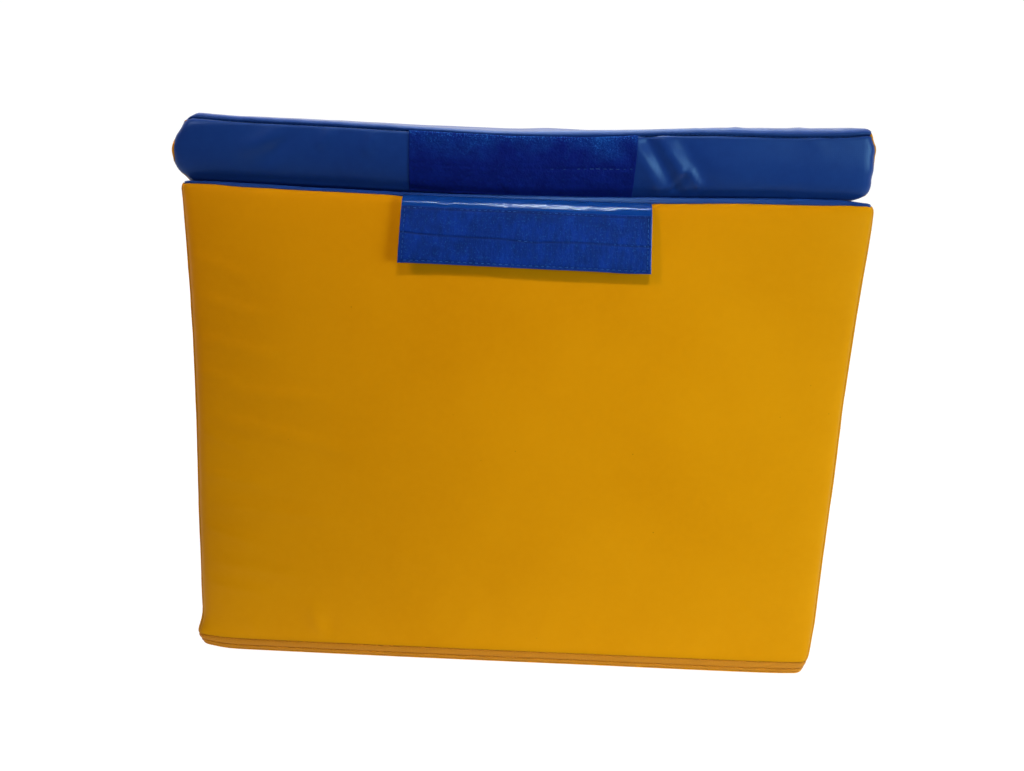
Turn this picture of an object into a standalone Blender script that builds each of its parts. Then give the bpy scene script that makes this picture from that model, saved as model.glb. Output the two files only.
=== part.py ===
"""Folding foam wedge block, stored folded.

A thick half (tall end and ramp) stands on its base. A thin half (ramp and blunt nose) lies
folded over it, ramp against ramp, and turns through half a turn about a fabric hinge to make
one long incline. A stitched flap on the tall end turns up over the nose and grips a loop patch.
Each half is a block of foam in a sewn vinyl cover that opens with a zip.

Metres, +Z up. The origin is the centre of the base, on the floor. The tall end faces -Y and the
hinge is at +Y. Sections are drawn in the Y-Z plane and extruded along X.
"""

import math

import bmesh
import bpy
from mathutils import Matrix, Vector

# ---------------------------------------------------------------- driving dimensions
WIDTH = 0.600          # along X
DEPTH = 0.600          # of each half, along Y
TALL_END = 0.455       # height of the thick half's tall end, cover included
HINGE_END = 0.254      # height of each half where they meet
NOSE = 0.053           # height of the thin half's blunt nose
VINYL = 0.0010         # cover panel thickness
GAP = 0.0003           # between touching pieces
FOLD_GAP = 0.0030      # between the two ramps when folded, straight up
HINGE_OUT = 0.0015     # hinge axis beyond the end faces; the open end faces stand twice this apart

ZIP_CORNER = 0.014     # radius that the zip turns the corners with
ZIP_PROUD = 0.0004     # how far the tapes stand out of the cover
TAPE_T = 0.0007        # zip tape thickness
LOWER_TAPE = (0.0013, 0.0048)     # height range of each zip row above the base
UPPER_TAPE = (0.0052, 0.0124)
LOWER_COIL = (0.0034, 0.0047)     # the coils run behind the tapes
UPPER_COIL = (0.0053, 0.0066)
COIL_OUT = -0.0006
COIL_T = 0.0011
WALL_FOOT = 0.0127     # where the walls start above the zip
THICK_ZIP_END = 0.250  # the thick half's zip runs from here along one side, round the tall end and back
THIN_ZIP_END = -0.020  # the thin half's zip runs from here round the hinge end
STOP_LENGTH = 0.004
STOP_T = 0.0009
FOOT_IN = 0.0022       # the foam's foot stands this far inside the cover, behind the zip

SLIDER = (0.0132, 0.0021, 0.0090)   # plate: along the zip, out of the cover, up
BRIDGE_HALF = 0.0042   # half length of the slider's bridge
BRIDGE_POST = 0.0014
BRIDGE_HOLE = 0.0021   # clear height under the bridge
BRIDGE_TOP = 0.0011
BRIDGE_WIDE = 0.0016
PULL = (0.0270, 0.0010, 0.0062)     # pull tab: long, thick, wide
PULL_WINDOW = (0.0058, 0.0032)
PULL_BAR = 0.0011

FLAP_WIDTH = 0.218
FLAP_AXIS = Vector((0, -0.3058, 0.4490))   # where the flap bends, just outside the top seam
FLAP_TILT = 7.0        # degrees: the flap hangs with its free edge standing out
FLAP_REACH = (0.0012, 0.0585)     # from the bend to the vinyl's upper and free edges
HOOK_REACH = (0.0060, 0.0570)     # and to the hook tape's
FLAP_BACK = 0.0017     # the vinyl's back, inside the bend
HOOK_OUT = 0.0008      # the hook face, outside the bend
HOOK_T = 0.0012
ROOT_Z = (0.4494, 0.4504)         # the vinyl where it comes out of the seam
LOOP_WIDTH = 0.197
LOOP_FOOT = 0.4592
LOOP_T = 0.0015

STRIP_T = 0.0006       # hinge fabric
STRIP_LEG = 0.030      # how far it is sewn down each ramp
STRIP_OFF = 0.0003
STRIP_BEND = 0.0004    # the bend's centre, beyond the end faces

# ---------------------------------------------------------------- derived
HW, HD = WIDTH / 2, DEPTH / 2
SLOPE = (TALL_END - HINGE_END) / DEPTH
NORM = math.hypot(1, SLOPE)
TOP = 2 * HINGE_END + FOLD_GAP
FOLD_AXIS = Vector((0, HD + HINGE_OUT, HINGE_END + FOLD_GAP / 2))
LOOP_FACE = -HD - GAP - LOOP_T


def ramp_z(y, drop=0.0):
    """Height of the thick half's ramp at y, or of a plane the given distance under it."""
    return TALL_END - SLOPE * (y + HD) - drop * NORM


# ---------------------------------------------------------------- scene, collections, materials
for old in list(bpy.data.objects):
    bpy.data.objects.remove(old)

parts = bpy.data.collections.new("foam_wedge_block")
cutters = bpy.data.collections.new("cutters")
bpy.context.scene.collection.children.link(parts)
bpy.context.scene.collection.children.link(cutters)

FINISHES = {
    "yellow_vinyl": ((0.74, 0.33, 0.012, 1), 0.42, 0.0),
    "blue_vinyl": ((0.012, 0.060, 0.230, 1), 0.38, 0.0),
    "blue_hook_tape": ((0.006, 0.034, 0.190, 1), 0.60, 0.0),
    "blue_loop": ((0.004, 0.018, 0.130, 1), 0.95, 0.0),
    "yellow_zip_tape": ((0.78, 0.38, 0.040, 1), 0.70, 0.0),
    "yellow_coil": ((0.62, 0.30, 0.030, 1), 0.35, 0.0),
    "zip_metal": ((0.45, 0.44, 0.42, 1), 0.32, 1.0),
    "foam": ((0.62, 0.60, 0.50, 1), 0.95, 0.0),
}


def material(name, finish):
    colour, rough, metal = FINISHES[finish]
    m = bpy.data.materials.new(name)
    m.use_nodes = True
    bsdf = m.node_tree.nodes["Principled BSDF"]
    bsdf.inputs["Base Color"].default_value = colour
    bsdf.inputs["Roughness"].default_value = rough
    bsdf.inputs["Metallic"].default_value = metal
    m.diffuse_color = colour
    return m


def keep(obj, finish, parent=None):
    parts.objects.link(obj)
    obj.data.materials.append(material(obj.name + "_finish", finish))
    if parent is not None:
        obj.parent = parent
        obj.matrix_parent_inverse = Matrix.Translation(-parent.location)
    return obj


def pivot(name, place):
    """An empty on a joint's axis, which carries the pieces that move with the joint."""
    e = bpy.data.objects.new(name, None)
    e.location = place
    e.empty_display_size = 0.03
    parts.objects.link(e)
    return e


# ---------------------------------------------------------------- shape helpers
def box_mesh(name, low, high):
    size = Vector(high) - Vector(low)
    middle = (Vector(high) + Vector(low)) / 2
    bm = bmesh.new()
    bmesh.ops.create_cube(bm, size=1.0)
    bmesh.ops.scale(bm, vec=size, verts=bm.verts)
    bmesh.ops.translate(bm, vec=middle, verts=bm.verts)
    mesh = bpy.data.meshes.new(name)
    bm.to_mesh(mesh)
    bm.free()
    return bpy.data.objects.new(name, mesh)


def outline(name, points, low, high, along):
    """A flat outline as a filled 2D curve, extruded from low to high along X (points are y, z) or Z (points are x, y)."""
    curve = bpy.data.curves.new(name, "CURVE")
    curve.dimensions = "2D"
    curve.fill_mode = "BOTH"
    curve.extrude = (high - low) / 2
    spline = curve.splines.new("POLY")
    spline.points.add(len(points) - 1)
    for p, (a, b) in zip(spline.points, points):
        p.co = (a, b, 0, 1)
    spline.use_cyclic_u = True
    obj = bpy.data.objects.new(name, curve)
    if along == "X":
        obj.rotation_euler = (math.pi / 2, 0, math.pi / 2)
        obj.location = ((low + high) / 2, 0, 0)
    else:
        obj.location = (0, 0, (low + high) / 2)
    return obj


def arc(cx, cy, r, start, end, steps=8):
    """Points on an arc, in degrees."""
    return [
        (cx + r * math.cos(math.radians(start + (end - start) * i / steps)),
         cy + r * math.sin(math.radians(start + (end - start) * i / steps)))
        for i in range(steps + 1)
    ]


def run_of_zip(out, end, tail):
    """A U-shaped line at the given distance outside the cover: from y = tail on +X, round the end at y = end, back on -X."""
    side = 1 if end > 0 else -1
    x, y = HW + out, abs(end) + out
    r = ZIP_CORNER + out
    right = arc(x - r, y - r, r, 0, 90)
    left = [(-a, b) for a, b in reversed(right)]
    return [(a, side * b) for a, b in [(x, side * tail)] + right + left + [(-x, side * tail)]]


def zip_row(name, heights, end, tail, out=ZIP_PROUD, thick=TAPE_T):
    outer = run_of_zip(out, end, tail)
    inner = run_of_zip(out - thick, end, tail)
    return outline(name, outer + list(reversed(inner)), heights[0], heights[1], "Z")


def joined(base, *tools):
    """A boolean union of mesh objects, applied."""
    for n, tool in enumerate(tools):
        cutters.objects.link(tool)
        tool.hide_render = True
        tool.display_type = "WIRE"
        mod = base.modifiers.new(f"join_{n}", "BOOLEAN")
        mod.operation = "UNION"
        mod.object = tool
    return base


def cut(base, *tools):
    for n, tool in enumerate(tools):
        cutters.objects.link(tool)
        tool.hide_render = True
        tool.display_type = "WIRE"
        mod = base.modifiers.new(f"cut_{n}", "BOOLEAN")
        mod.operation = "DIFFERENCE"
        mod.object = tool
    return base


# ---------------------------------------------------------------- thick half
INNER = HD - VINYL - GAP          # reach of the pieces inside the end walls
CORE_X = HW - VINYL - GAP
UNDER = VINYL + GAP               # from the ramp's outer face to what it covers

# the core's foot stands in from the zip's round corners
core_section = [
    (-INNER, UNDER), (INNER, UNDER), (INNER, ramp_z(INNER, UNDER)), (-INNER, ramp_z(-INNER, UNDER)),
]


def rounded_foot(name, end, tail, low, high):
    """A cutter: what lies outside the zip's inner line near the foot, so that the foam clears the round corners."""
    side = 1 if end > 0 else -1
    inner = run_of_zip(-FOOT_IN, end, tail)
    wide = 0.02
    outer = [(HW + wide, tail), (HW + wide, end + side * wide), (-HW - wide, end + side * wide), (-HW - wide, tail)]
    tool = outline(name, outer + list(reversed(inner)), low, high, "Z")
    parts.objects.link(tool)
    bpy.context.view_layer.update()
    evaluated = tool.evaluated_get(bpy.context.evaluated_depsgraph_get())
    mesh = bpy.data.meshes.new_from_object(evaluated)
    bm = bmesh.new()
    bm.from_mesh(mesh)
    bmesh.ops.remove_doubles(bm, verts=bm.verts, dist=1e-6)
    bmesh.ops.recalc_face_normals(bm, faces=bm.faces)
    bm.to_mesh(mesh)
    bm.free()
    solid = bpy.data.objects.new(name + "_solid", mesh)
    solid.matrix_world = tool.matrix_world.copy()
    bpy.data.objects.remove(tool)
    return solid


def section_mesh(name, points, half):
    """A straight prism across X with the given Y-Z section."""
    bm = bmesh.new()
    ring = [bm.verts.new((-half, y, z)) for y, z in points]
    face = bm.faces.new(ring)
    grown = bmesh.ops.extrude_face_region(bm, geom=[face])
    bmesh.ops.translate(bm, vec=(2 * half, 0, 0), verts=[v for v in grown["geom"] if isinstance(v, bmesh.types.BMVert)])
    bmesh.ops.recalc_face_normals(bm, faces=bm.faces)
    mesh = bpy.data.meshes.new(name)
    bm.to_mesh(mesh)
    bm.free()
    return bpy.data.objects.new(name, mesh)


thick_core = section_mesh("thick_foam_core", core_section, CORE_X)
cut(thick_core, rounded_foot("thick_foot_cut", -HD, THICK_ZIP_END, 0.0, WALL_FOOT - GAP))
keep(thick_core, "foam")

keep(box_mesh("thick_base_panel", (-HW, -HD, 0), (HW, HD, VINYL)), "yellow_vinyl")

keep(outline("thick_ramp_panel", [
    (-HD, ramp_z(-HD, VINYL)), (HD, ramp_z(HD, VINYL)), (HD, ramp_z(HD)), (-HD, ramp_z(-HD)),
], -HW, HW, "X"), "blue_vinyl")

keep(outline("tall_end_panel", [
    (-HD, WALL_FOOT), (-HD + VINYL, WALL_FOOT), (-HD + VINYL, ramp_z(-HD + VINYL, UNDER)), (-HD, ramp_z(-HD, UNDER)),
], -HW, HW, "X"), "yellow_vinyl")

keep(outline("thick_hinge_end_panel", [
    (HD - VINYL, UNDER), (HD, UNDER), (HD, ramp_z(HD, UNDER)), (HD - VINYL, ramp_z(HD - VINYL, UNDER)),
], -HW, HW, "X"), "yellow_vinyl")

side_section = [
    (-INNER, WALL_FOOT), (THICK_ZIP_END + GAP, WALL_FOOT), (THICK_ZIP_END + GAP, UNDER), (INNER, UNDER),
    (INNER, ramp_z(INNER, UNDER)), (-INNER, ramp_z(-INNER, UNDER)),
]
keep(outline("thick_left_side_panel", side_section, -HW, -HW + VINYL, "X"), "yellow_vinyl")
keep(outline("thick_right_side_panel", side_section, HW - VINYL, HW, "X"), "yellow_vinyl")

tail = THICK_ZIP_END
keep(zip_row("thick_zip_lower_tape", LOWER_TAPE, -HD, tail), "yellow_zip_tape")
keep(zip_row("thick_zip_upper_tape", UPPER_TAPE, -HD, tail), "yellow_zip_tape")
keep(zip_row("thick_zip_lower_coil", LOWER_COIL, -HD, tail - GAP, out=COIL_OUT, thick=COIL_T), "yellow_coil")
keep(zip_row("thick_zip_upper_coil", UPPER_COIL, -HD, tail - GAP, out=COIL_OUT, thick=COIL_T), "yellow_coil")


def stop_box(name, side, y0, y1, z0, z1):
    """A stop clamped on the tapes at the end of a zip, on the side with that sign."""
    near, far = side * (HW + ZIP_PROUD + GAP), side * (HW + ZIP_PROUD + GAP + STOP_T)
    return box_mesh(name, (min(near, far), y0, z0), (max(near, far), y1, z1))


for side, sign in (("left", -1), ("right", 1)):
    keep(stop_box(f"thick_zip_{side}_stop", sign, tail - STOP_LENGTH, tail, LOWER_COIL[0], UPPER_COIL[1]), "zip_metal")


# ---------------------------------------------------------------- zip slider and pull tab
def slider_and_pull(prefix, y, z, toward, parent=None):
    """A slider plate with a bridge, on the +X side of the cover, and a pull tab hung on the bridge. toward is the way (+1 or -1 along Y) that the tab points."""
    x0 = HW + ZIP_PROUD + 0.0004
    slide = pivot(prefix + "_slider_at", (x0, y, z))
    body = box_mesh(prefix + "_slider", (x0, y - SLIDER[0] / 2, z - SLIDER[2] / 2), (x0 + SLIDER[1], y + SLIDER[0] / 2, z + SLIDER[2] / 2))
    bevel = body.modifiers.new("edges", "BEVEL")
    bevel.width = 0.0007
    bevel.segments = 2
    x1 = x0 + SLIDER[1]
    sink = 0.0004
    rail = box_mesh(prefix + "_bridge", (x1 - sink, y - BRIDGE_HALF, z - BRIDGE_WIDE / 2),
                    (x1 + BRIDGE_HOLE + BRIDGE_TOP, y + BRIDGE_HALF, z + BRIDGE_WIDE / 2))
    window = box_mesh(prefix + "_bridge_hole", (x1, y - BRIDGE_HALF + BRIDGE_POST, z - 0.004),
                      (x1 + BRIDGE_HOLE, y + BRIDGE_HALF - BRIDGE_POST, z + 0.004))
    joined(body, rail)
    cut(body, window)
    keep(body, "zip_metal", slide)
    px = x1 + BRIDGE_HOLE / 2
    swing = pivot(prefix + "_pull_at", (px, y, z))
    near, far = y - toward * PULL_BAR / 2, y + toward * (PULL[0] - PULL_BAR / 2)
    tab = box_mesh(prefix + "_pull", (px - PULL[1] / 2, min(near, far), z - PULL[2] / 2),
                   (px + PULL[1] / 2, max(near, far), z + PULL[2] / 2))
    a, b = y + toward * PULL_BAR / 2, y + toward * (PULL_BAR / 2 + PULL_WINDOW[0])
    eye = box_mesh(prefix + "_pull_eye", (px - 0.004, min(a, b), z - PULL_WINDOW[1] / 2), (px + 0.004, max(a, b), z + PULL_WINDOW[1] / 2))
    cut(tab, eye)
    keep(tab, "zip_metal", swing)
    for tool in (rail, window, eye):
        tool.parent = None
    return slide, swing


ZIP_MIDDLE = (LOWER_COIL[1] + UPPER_COIL[0]) / 2
thick_slider_y = THICK_ZIP_END - STOP_LENGTH - SLIDER[0] / 2 - 0.001
slider_and_pull("thick_zip", thick_slider_y, ZIP_MIDDLE, 1)

# ---------------------------------------------------------------- flap on the tall end
# drawn hanging straight down from the bend, then tilted about it
flap_at = pivot("flap_axis", FLAP_AXIS)
fy, fz = FLAP_AXIS.y, FLAP_AXIS.z
keep(box_mesh("flap_vinyl", (-FLAP_WIDTH / 2, fy + FLAP_BACK - VINYL, fz - FLAP_REACH[1]),
              (FLAP_WIDTH / 2, fy + FLAP_BACK, fz - FLAP_REACH[0])), "blue_vinyl", flap_at)
keep(box_mesh("flap_hook_tape", (-FLAP_WIDTH / 2 + 0.001, fy - HOOK_OUT, fz - HOOK_REACH[1]),
              (FLAP_WIDTH / 2 - 0.001, fy - HOOK_OUT + HOOK_T, fz - HOOK_REACH[0])), "blue_hook_tape", flap_at)
flap_at.rotation_euler.x = math.radians(-FLAP_TILT)
# the same strip of vinyl between the seam and the bend
keep(box_mesh("flap_root", (-FLAP_WIDTH / 2, fy + 0.0010, ROOT_Z[0]), (FLAP_WIDTH / 2, -HD - GAP, ROOT_Z[1])), "blue_vinyl")

# ---------------------------------------------------------------- fabric hinge
ramp_dir = Vector((0, -1, SLOPE)).normalized()      # up the thick ramp, away from the hinge
ramp_up = Vector((0, SLOPE, 1)).normalized()        # straight out of the ramp


def strip_line(off):
    """The fabric's line at a distance off the two ramps: down the lower ramp, round the middle of the gap at the end faces, and up the upper ramp."""
    r = (FOLD_GAP / NORM) / 2 - off
    middle = Vector((0, HD + STRIP_BEND, ramp_z(HD + STRIP_BEND) + FOLD_GAP / 2))
    low = middle - ramp_up * r
    high = middle + ramp_up * r
    bend = []
    for i in range(9):
        a = -math.pi / 2 + math.pi * i / 8
        p = middle + ramp_up * (r * math.sin(a)) - ramp_dir * (r * math.cos(a))
        bend.append((p.y, p.z))
    start = low + ramp_dir * STRIP_LEG
    end = high + ramp_dir * STRIP_LEG
    return [(start.y, start.z)] + bend + [(end.y, end.z)]


strip_section = strip_line(STRIP_OFF) + list(reversed(strip_line(STRIP_OFF + STRIP_T)))
keep(outline("hinge_strip", strip_section, -HW + 0.004, HW - 0.004, "X"), "blue_vinyl")

# ---------------------------------------------------------------- thin half, folded over the thick half
fold_at = pivot("fold_axis", FOLD_AXIS)


def thin_ramp_z(y, rise=0.0):
    """Height of the thin half's ramp, folded, or of a plane the given distance above it."""
    return ramp_z(y) + FOLD_GAP + rise * NORM


thin_section = [
    (-INNER, thin_ramp_z(-INNER, UNDER)), (INNER, thin_ramp_z(INNER, UNDER)), (INNER, TOP - UNDER), (-INNER, TOP - UNDER),
]
thin_core = section_mesh("thin_foam_core", thin_section, CORE_X)
cut(thin_core, rounded_foot("thin_foot_cut", HD, THIN_ZIP_END, TOP - WALL_FOOT + GAP, TOP))
keep(thin_core, "foam", fold_at)

keep(box_mesh("thin_base_panel", (-HW, -HD, TOP - VINYL), (HW, HD, TOP)), "blue_vinyl", fold_at)


def thin_outline(name, points, low, high, finish):
    obj = outline(name, points, low, high, "X")
    return keep(obj, finish, fold_at)


thin_outline("thin_ramp_panel", [
    (-HD, thin_ramp_z(-HD)), (HD, thin_ramp_z(HD)), (HD, thin_ramp_z(HD, VINYL)), (-HD, thin_ramp_z(-HD, VINYL)),
], -HW, HW, "blue_vinyl")
thin_outline("nose_panel", [
    (-HD, thin_ramp_z(-HD, UNDER)), (-HD + VINYL, thin_ramp_z(-HD + VINYL, UNDER)), (-HD + VINYL, TOP - UNDER), (-HD, TOP - UNDER),
], -HW, HW, "blue_vinyl")
thin_outline("thin_hinge_end_panel", [
    (HD - VINYL, thin_ramp_z(HD - VINYL, UNDER)), (HD, thin_ramp_z(HD, UNDER)), (HD, TOP - WALL_FOOT), (HD - VINYL, TOP - WALL_FOOT),
], -HW, HW, "yellow_vinyl")
thin_side = [
    (-INNER, thin_ramp_z(-INNER, UNDER)), (INNER, thin_ramp_z(INNER, UNDER)), (INNER, TOP - WALL_FOOT),
    (THIN_ZIP_END - GAP, TOP - WALL_FOOT), (THIN_ZIP_END - GAP, TOP - UNDER), (-INNER, TOP - UNDER),
]
thin_outline("thin_left_side_panel", thin_side, -HW, -HW + VINYL, "yellow_vinyl")
thin_outline("thin_right_side_panel", thin_side, HW - VINYL, HW, "yellow_vinyl")


def from_top(heights):
    return TOP - heights[1], TOP - heights[0]


tail = THIN_ZIP_END
keep(zip_row("thin_zip_lower_tape", from_top(LOWER_TAPE), HD, tail), "yellow_zip_tape", fold_at)
keep(zip_row("thin_zip_upper_tape", from_top(UPPER_TAPE), HD, tail), "yellow_zip_tape", fold_at)
keep(zip_row("thin_zip_lower_coil", from_top(LOWER_COIL), HD, tail + GAP, out=COIL_OUT, thick=COIL_T), "yellow_coil", fold_at)
keep(zip_row("thin_zip_upper_coil", from_top(UPPER_COIL), HD, tail + GAP, out=COIL_OUT, thick=COIL_T), "yellow_coil", fold_at)
for side, sign in (("left", -1), ("right", 1)):
    keep(stop_box(f"thin_zip_{side}_stop", sign, tail, tail + STOP_LENGTH, TOP - UPPER_COIL[1], TOP - LOWER_COIL[0]), "zip_metal", fold_at)
thin_slider_y = THIN_ZIP_END + STOP_LENGTH + SLIDER[0] / 2 + 0.001
slider_and_pull("thin_zip", thin_slider_y, TOP - ZIP_MIDDLE, -1)

keep(box_mesh("loop_patch", (-LOOP_WIDTH / 2, LOOP_FACE, LOOP_FOOT), (LOOP_WIDTH / 2, -HD - GAP, LOOP_FOOT + 0.0495)), "blue_loop", fold_at)
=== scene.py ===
"""Looks for the folding foam wedge block: sewn vinyl covers over foam, ramp on ramp, with a hook flap and a loop patch.

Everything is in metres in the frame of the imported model: +Z up, the tall end and the nose face -Y.
Each cover panel is a thin closed shell of its own. It is drawn on a sharp-edged wedge, rounded over the foam's
edges, rolled under at its seams, and then crowned, puckered and creased along its normals.
"""

import math  # noqa: E402

import bmesh  # noqa: E402
import bpy  # noqa: E402
import numpy as np  # noqa: E402
from mathutils import Matrix, Vector  # noqa: E402


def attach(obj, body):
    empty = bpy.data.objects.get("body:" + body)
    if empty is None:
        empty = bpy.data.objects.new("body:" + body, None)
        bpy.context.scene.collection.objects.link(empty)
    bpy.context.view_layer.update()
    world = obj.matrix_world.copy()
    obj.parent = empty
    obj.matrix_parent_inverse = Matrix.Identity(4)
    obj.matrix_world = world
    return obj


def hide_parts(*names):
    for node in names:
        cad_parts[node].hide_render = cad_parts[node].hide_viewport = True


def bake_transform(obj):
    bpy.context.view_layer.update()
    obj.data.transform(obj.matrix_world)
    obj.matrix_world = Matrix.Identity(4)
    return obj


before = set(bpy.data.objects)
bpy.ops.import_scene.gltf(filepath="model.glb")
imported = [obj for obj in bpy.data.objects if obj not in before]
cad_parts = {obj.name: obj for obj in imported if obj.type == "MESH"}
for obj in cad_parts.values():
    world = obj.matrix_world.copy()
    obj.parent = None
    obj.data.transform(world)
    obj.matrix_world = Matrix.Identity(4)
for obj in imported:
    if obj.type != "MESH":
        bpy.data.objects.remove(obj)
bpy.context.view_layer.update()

# ------------------------------------------------------------------ sizes shared with the construction
HW = 0.300
HD = 0.300
TALL_END, HINGE_END, FOLD_GAP = 0.455, 0.254, 0.003
SLOPE = (TALL_END - HINGE_END) / (2 * HD)
NORM = math.hypot(1, SLOPE)
TOP = 2 * HINGE_END + FOLD_GAP
ZIP_SEAM = 0.0124
THICK_ZIP_END, THIN_ZIP_END = 0.250, -0.020
FLAP_AXIS = (0.0, -0.3058, 0.4490)
FLAP_TILT = math.radians(7.0)

ROUND = 0.009        # radius of the foam's edges with the cover on
SEAM = 0.00012       # half of the slit between two panels
ROLL = 0.0013        # radius that a panel turns under with at its seam
VINYL = 0.0007
SEAM_BELOW = 0.0030  # the front seams lie this far below the edge


# ------------------------------------------------------------------ small maths
def ease(t):
    t = np.clip(t, 0.0, 1.0)
    return t * t * (3 - 2 * t)


def lattice(ix, iy, iz, seed):
    h = (ix * 374761393 + iy * 668265263 + iz * 1440662683 + seed * 1274126177) & 0xFFFFFFFF
    h = ((h ^ (h >> 13)) * 1274126177) & 0xFFFFFFFF
    h = h ^ (h >> 16)
    return (h & 0xFFFFF) / 524287.5 - 1.0


def noise(p, size, seed=0):
    """Smooth noise in -1..1 with features about that size; p is (n, 3)."""
    q = np.asarray(p, float) / size
    i = np.floor(q).astype(np.int64)
    f = q - i
    w = f * f * f * (f * (f * 6 - 15) + 10)
    out = np.zeros(len(q))
    for a in (0, 1):
        for b in (0, 1):
            for c in (0, 1):
                k = (w[:, 0] if a else 1 - w[:, 0]) * (w[:, 1] if b else 1 - w[:, 1]) * (w[:, 2] if c else 1 - w[:, 2])
                out += k * lattice(i[:, 0] + a, i[:, 1] + b, i[:, 2] + c, seed)
    return out


def noise2(u, v, size_u, size_v=None, seed=0):
    shape = np.shape(u)
    u, v = np.ravel(u), np.ravel(v)
    p = np.column_stack([u / size_u, v / (size_v or size_u), np.full(len(u), 0.5)])
    return noise(p, 1.0, seed).reshape(shape)


def fractal(p, size, seed=0, octaves=3, gain=0.5):
    return sum(gain**k * noise(p, size / 2**k, seed + 17 * k) for k in range(octaves))


def through(x, knots):
    """A smooth curve through (x, value) knots, level beyond its ends."""
    kx = np.array([k[0] for k in knots], float)
    kv = np.array([k[1] for k in knots], float)
    m = np.gradient(kv, kx)
    m[0] = m[-1] = 0.0
    x = np.clip(x, kx[0], kx[-1])
    i = np.clip(np.searchsorted(kx, x) - 1, 0, len(kx) - 2)
    h = kx[i + 1] - kx[i]
    t = (x - kx[i]) / h
    return ((2 * t**3 - 3 * t**2 + 1) * kv[i] + (t**3 - 2 * t**2 + t) * h * m[i]
            + (-2 * t**3 + 3 * t**2) * kv[i + 1] + (t**3 - t**2) * h * m[i + 1])


def bump_at(p, centre, reach, push):
    """A soft push of the points round a centre; reach and push are per axis."""
    d = (p - np.array(centre)) / np.array(reach)
    return np.exp(-(d * d).sum(1))[:, None] * np.array(push)


# ------------------------------------------------------------------ the two foam shapes
FRONT, RAMP, BACK, BASE, LEFT, RIGHT = range(6)


class Half:
    """A wedge whose Y-Z section has four corners, listed from the foot of its front face and up round it."""

    def __init__(self, corners, faces, base_z, up, base_radius, crowns):
        self.poly = np.array(corners, float)
        self.faces = faces
        self.base_z, self.up = base_z, up
        self.base_radius = base_radius
        self.crowns = crowns
        nxt = np.roll(self.poly, -1, axis=0)
        d = nxt - self.poly
        self.length = np.linalg.norm(d, axis=1)
        self.start = np.concatenate([[0], np.cumsum(self.length)[:-1]])
        self.dir = d / self.length[:, None]
        self.out = np.column_stack([-self.dir[:, 1], self.dir[:, 0]])
        self.inner = self.inset(ROUND)

    def inset(self, r):
        pts = []
        for i in range(4):
            a, b = (i - 1) % 4, i
            m = np.array([self.out[a], self.out[b]])
            rhs = np.array([self.out[a] @ self.poly[i] - r, self.out[b] @ self.poly[i] - r])
            pts.append(np.linalg.solve(m, rhs))
        return np.array(pts)

    def loop(self, q):
        """The point at q metres round the section, and the face that it is on."""
        q = np.mod(q, self.length.sum())
        i = np.clip(np.searchsorted(self.start, q, side="right") - 1, 0, 3)
        t = q - self.start[i]
        return self.poly[i] + self.dir[i] * t[..., None], np.array(self.faces)[i]

    def core2(self, yz):
        inside = np.ones(len(yz), bool)
        best = np.full(len(yz), np.inf)
        near = yz.copy()
        for i in range(4):
            a, b = self.inner[i], self.inner[(i + 1) % 4]
            e = b - a
            t = np.clip(((yz - a) @ e) / (e @ e), 0, 1)
            c = a + t[:, None] * e
            dist = np.linalg.norm(yz - c, axis=1)
            closer = dist < best
            near[closer] = c[closer]
            best = np.minimum(best, dist)
            inside &= (yz - a) @ self.out[i] <= 1e-9
        near[inside] = yz[inside]
        return near

    def over_base(self, p):
        return (p[:, 2] - self.base_z) * self.up

    def rounded(self, p):
        """Sharp-edged points moved onto the rounded form, with their outward normals."""
        c = np.column_stack([np.clip(p[:, 0], -(HW - ROUND), HW - ROUND), self.core2(p[:, 1:])])
        d = p - c
        n = d / np.maximum(np.linalg.norm(d, axis=1), 1e-12)[:, None]
        out = c + n * ROUND
        b = self.over_base(p)
        rb = self.base_radius(p)
        low = b < 0.02
        if low.any():
            cb = np.maximum(b, rb)
            core = np.column_stack([np.clip(p[:, 0], -(HW - ROUND), HW - ROUND), np.clip(p[:, 1], -(HD - ROUND), HD - ROUND),
                                    self.base_z + self.up * cb])
            size = np.column_stack([np.full(len(p), ROUND), np.full(len(p), ROUND), rb])
            e = (p - core) / size
            k = np.maximum(np.linalg.norm(e, axis=1), 1e-12)[:, None]
            e = e / k
            nn = e / size
            nn /= np.maximum(np.linalg.norm(nn, axis=1), 1e-12)[:, None]
            out[low] = (core + e * size)[low]
            n[low] = nn[low]
        return out, n

    def gaps(self, p):
        """Distance of each point from each of the six planes."""
        i = self.faces.index(RAMP)
        ramp = -((p[:, 1:] - self.poly[i]) @ self.out[i])
        return np.column_stack([p[:, 1] + HD, ramp, HD - p[:, 1], self.over_base(p), p[:, 0] + HW, HW - p[:, 0]])

    def crown(self, p, face):
        g = np.maximum(self.gaps(p), 0.0)
        soft = 1 - np.exp(-g / 0.017)
        out = np.zeros(len(p))
        for f in range(6):
            on = face == f
            if on.any():
                others = [k for k in range(6) if k != f]
                out[on] = self.crowns[f](p[on]) * soft[on][:, others].prod(1)
        return out


def level(v):
    return lambda p: np.full(len(p), v)


def ramp_crown(p):
    """The ramps press on each other, so they are nearly flat, and flat where the hinge strip lies."""
    return 0.0011 * ease((0.262 - p[:, 1]) / 0.08)


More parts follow.
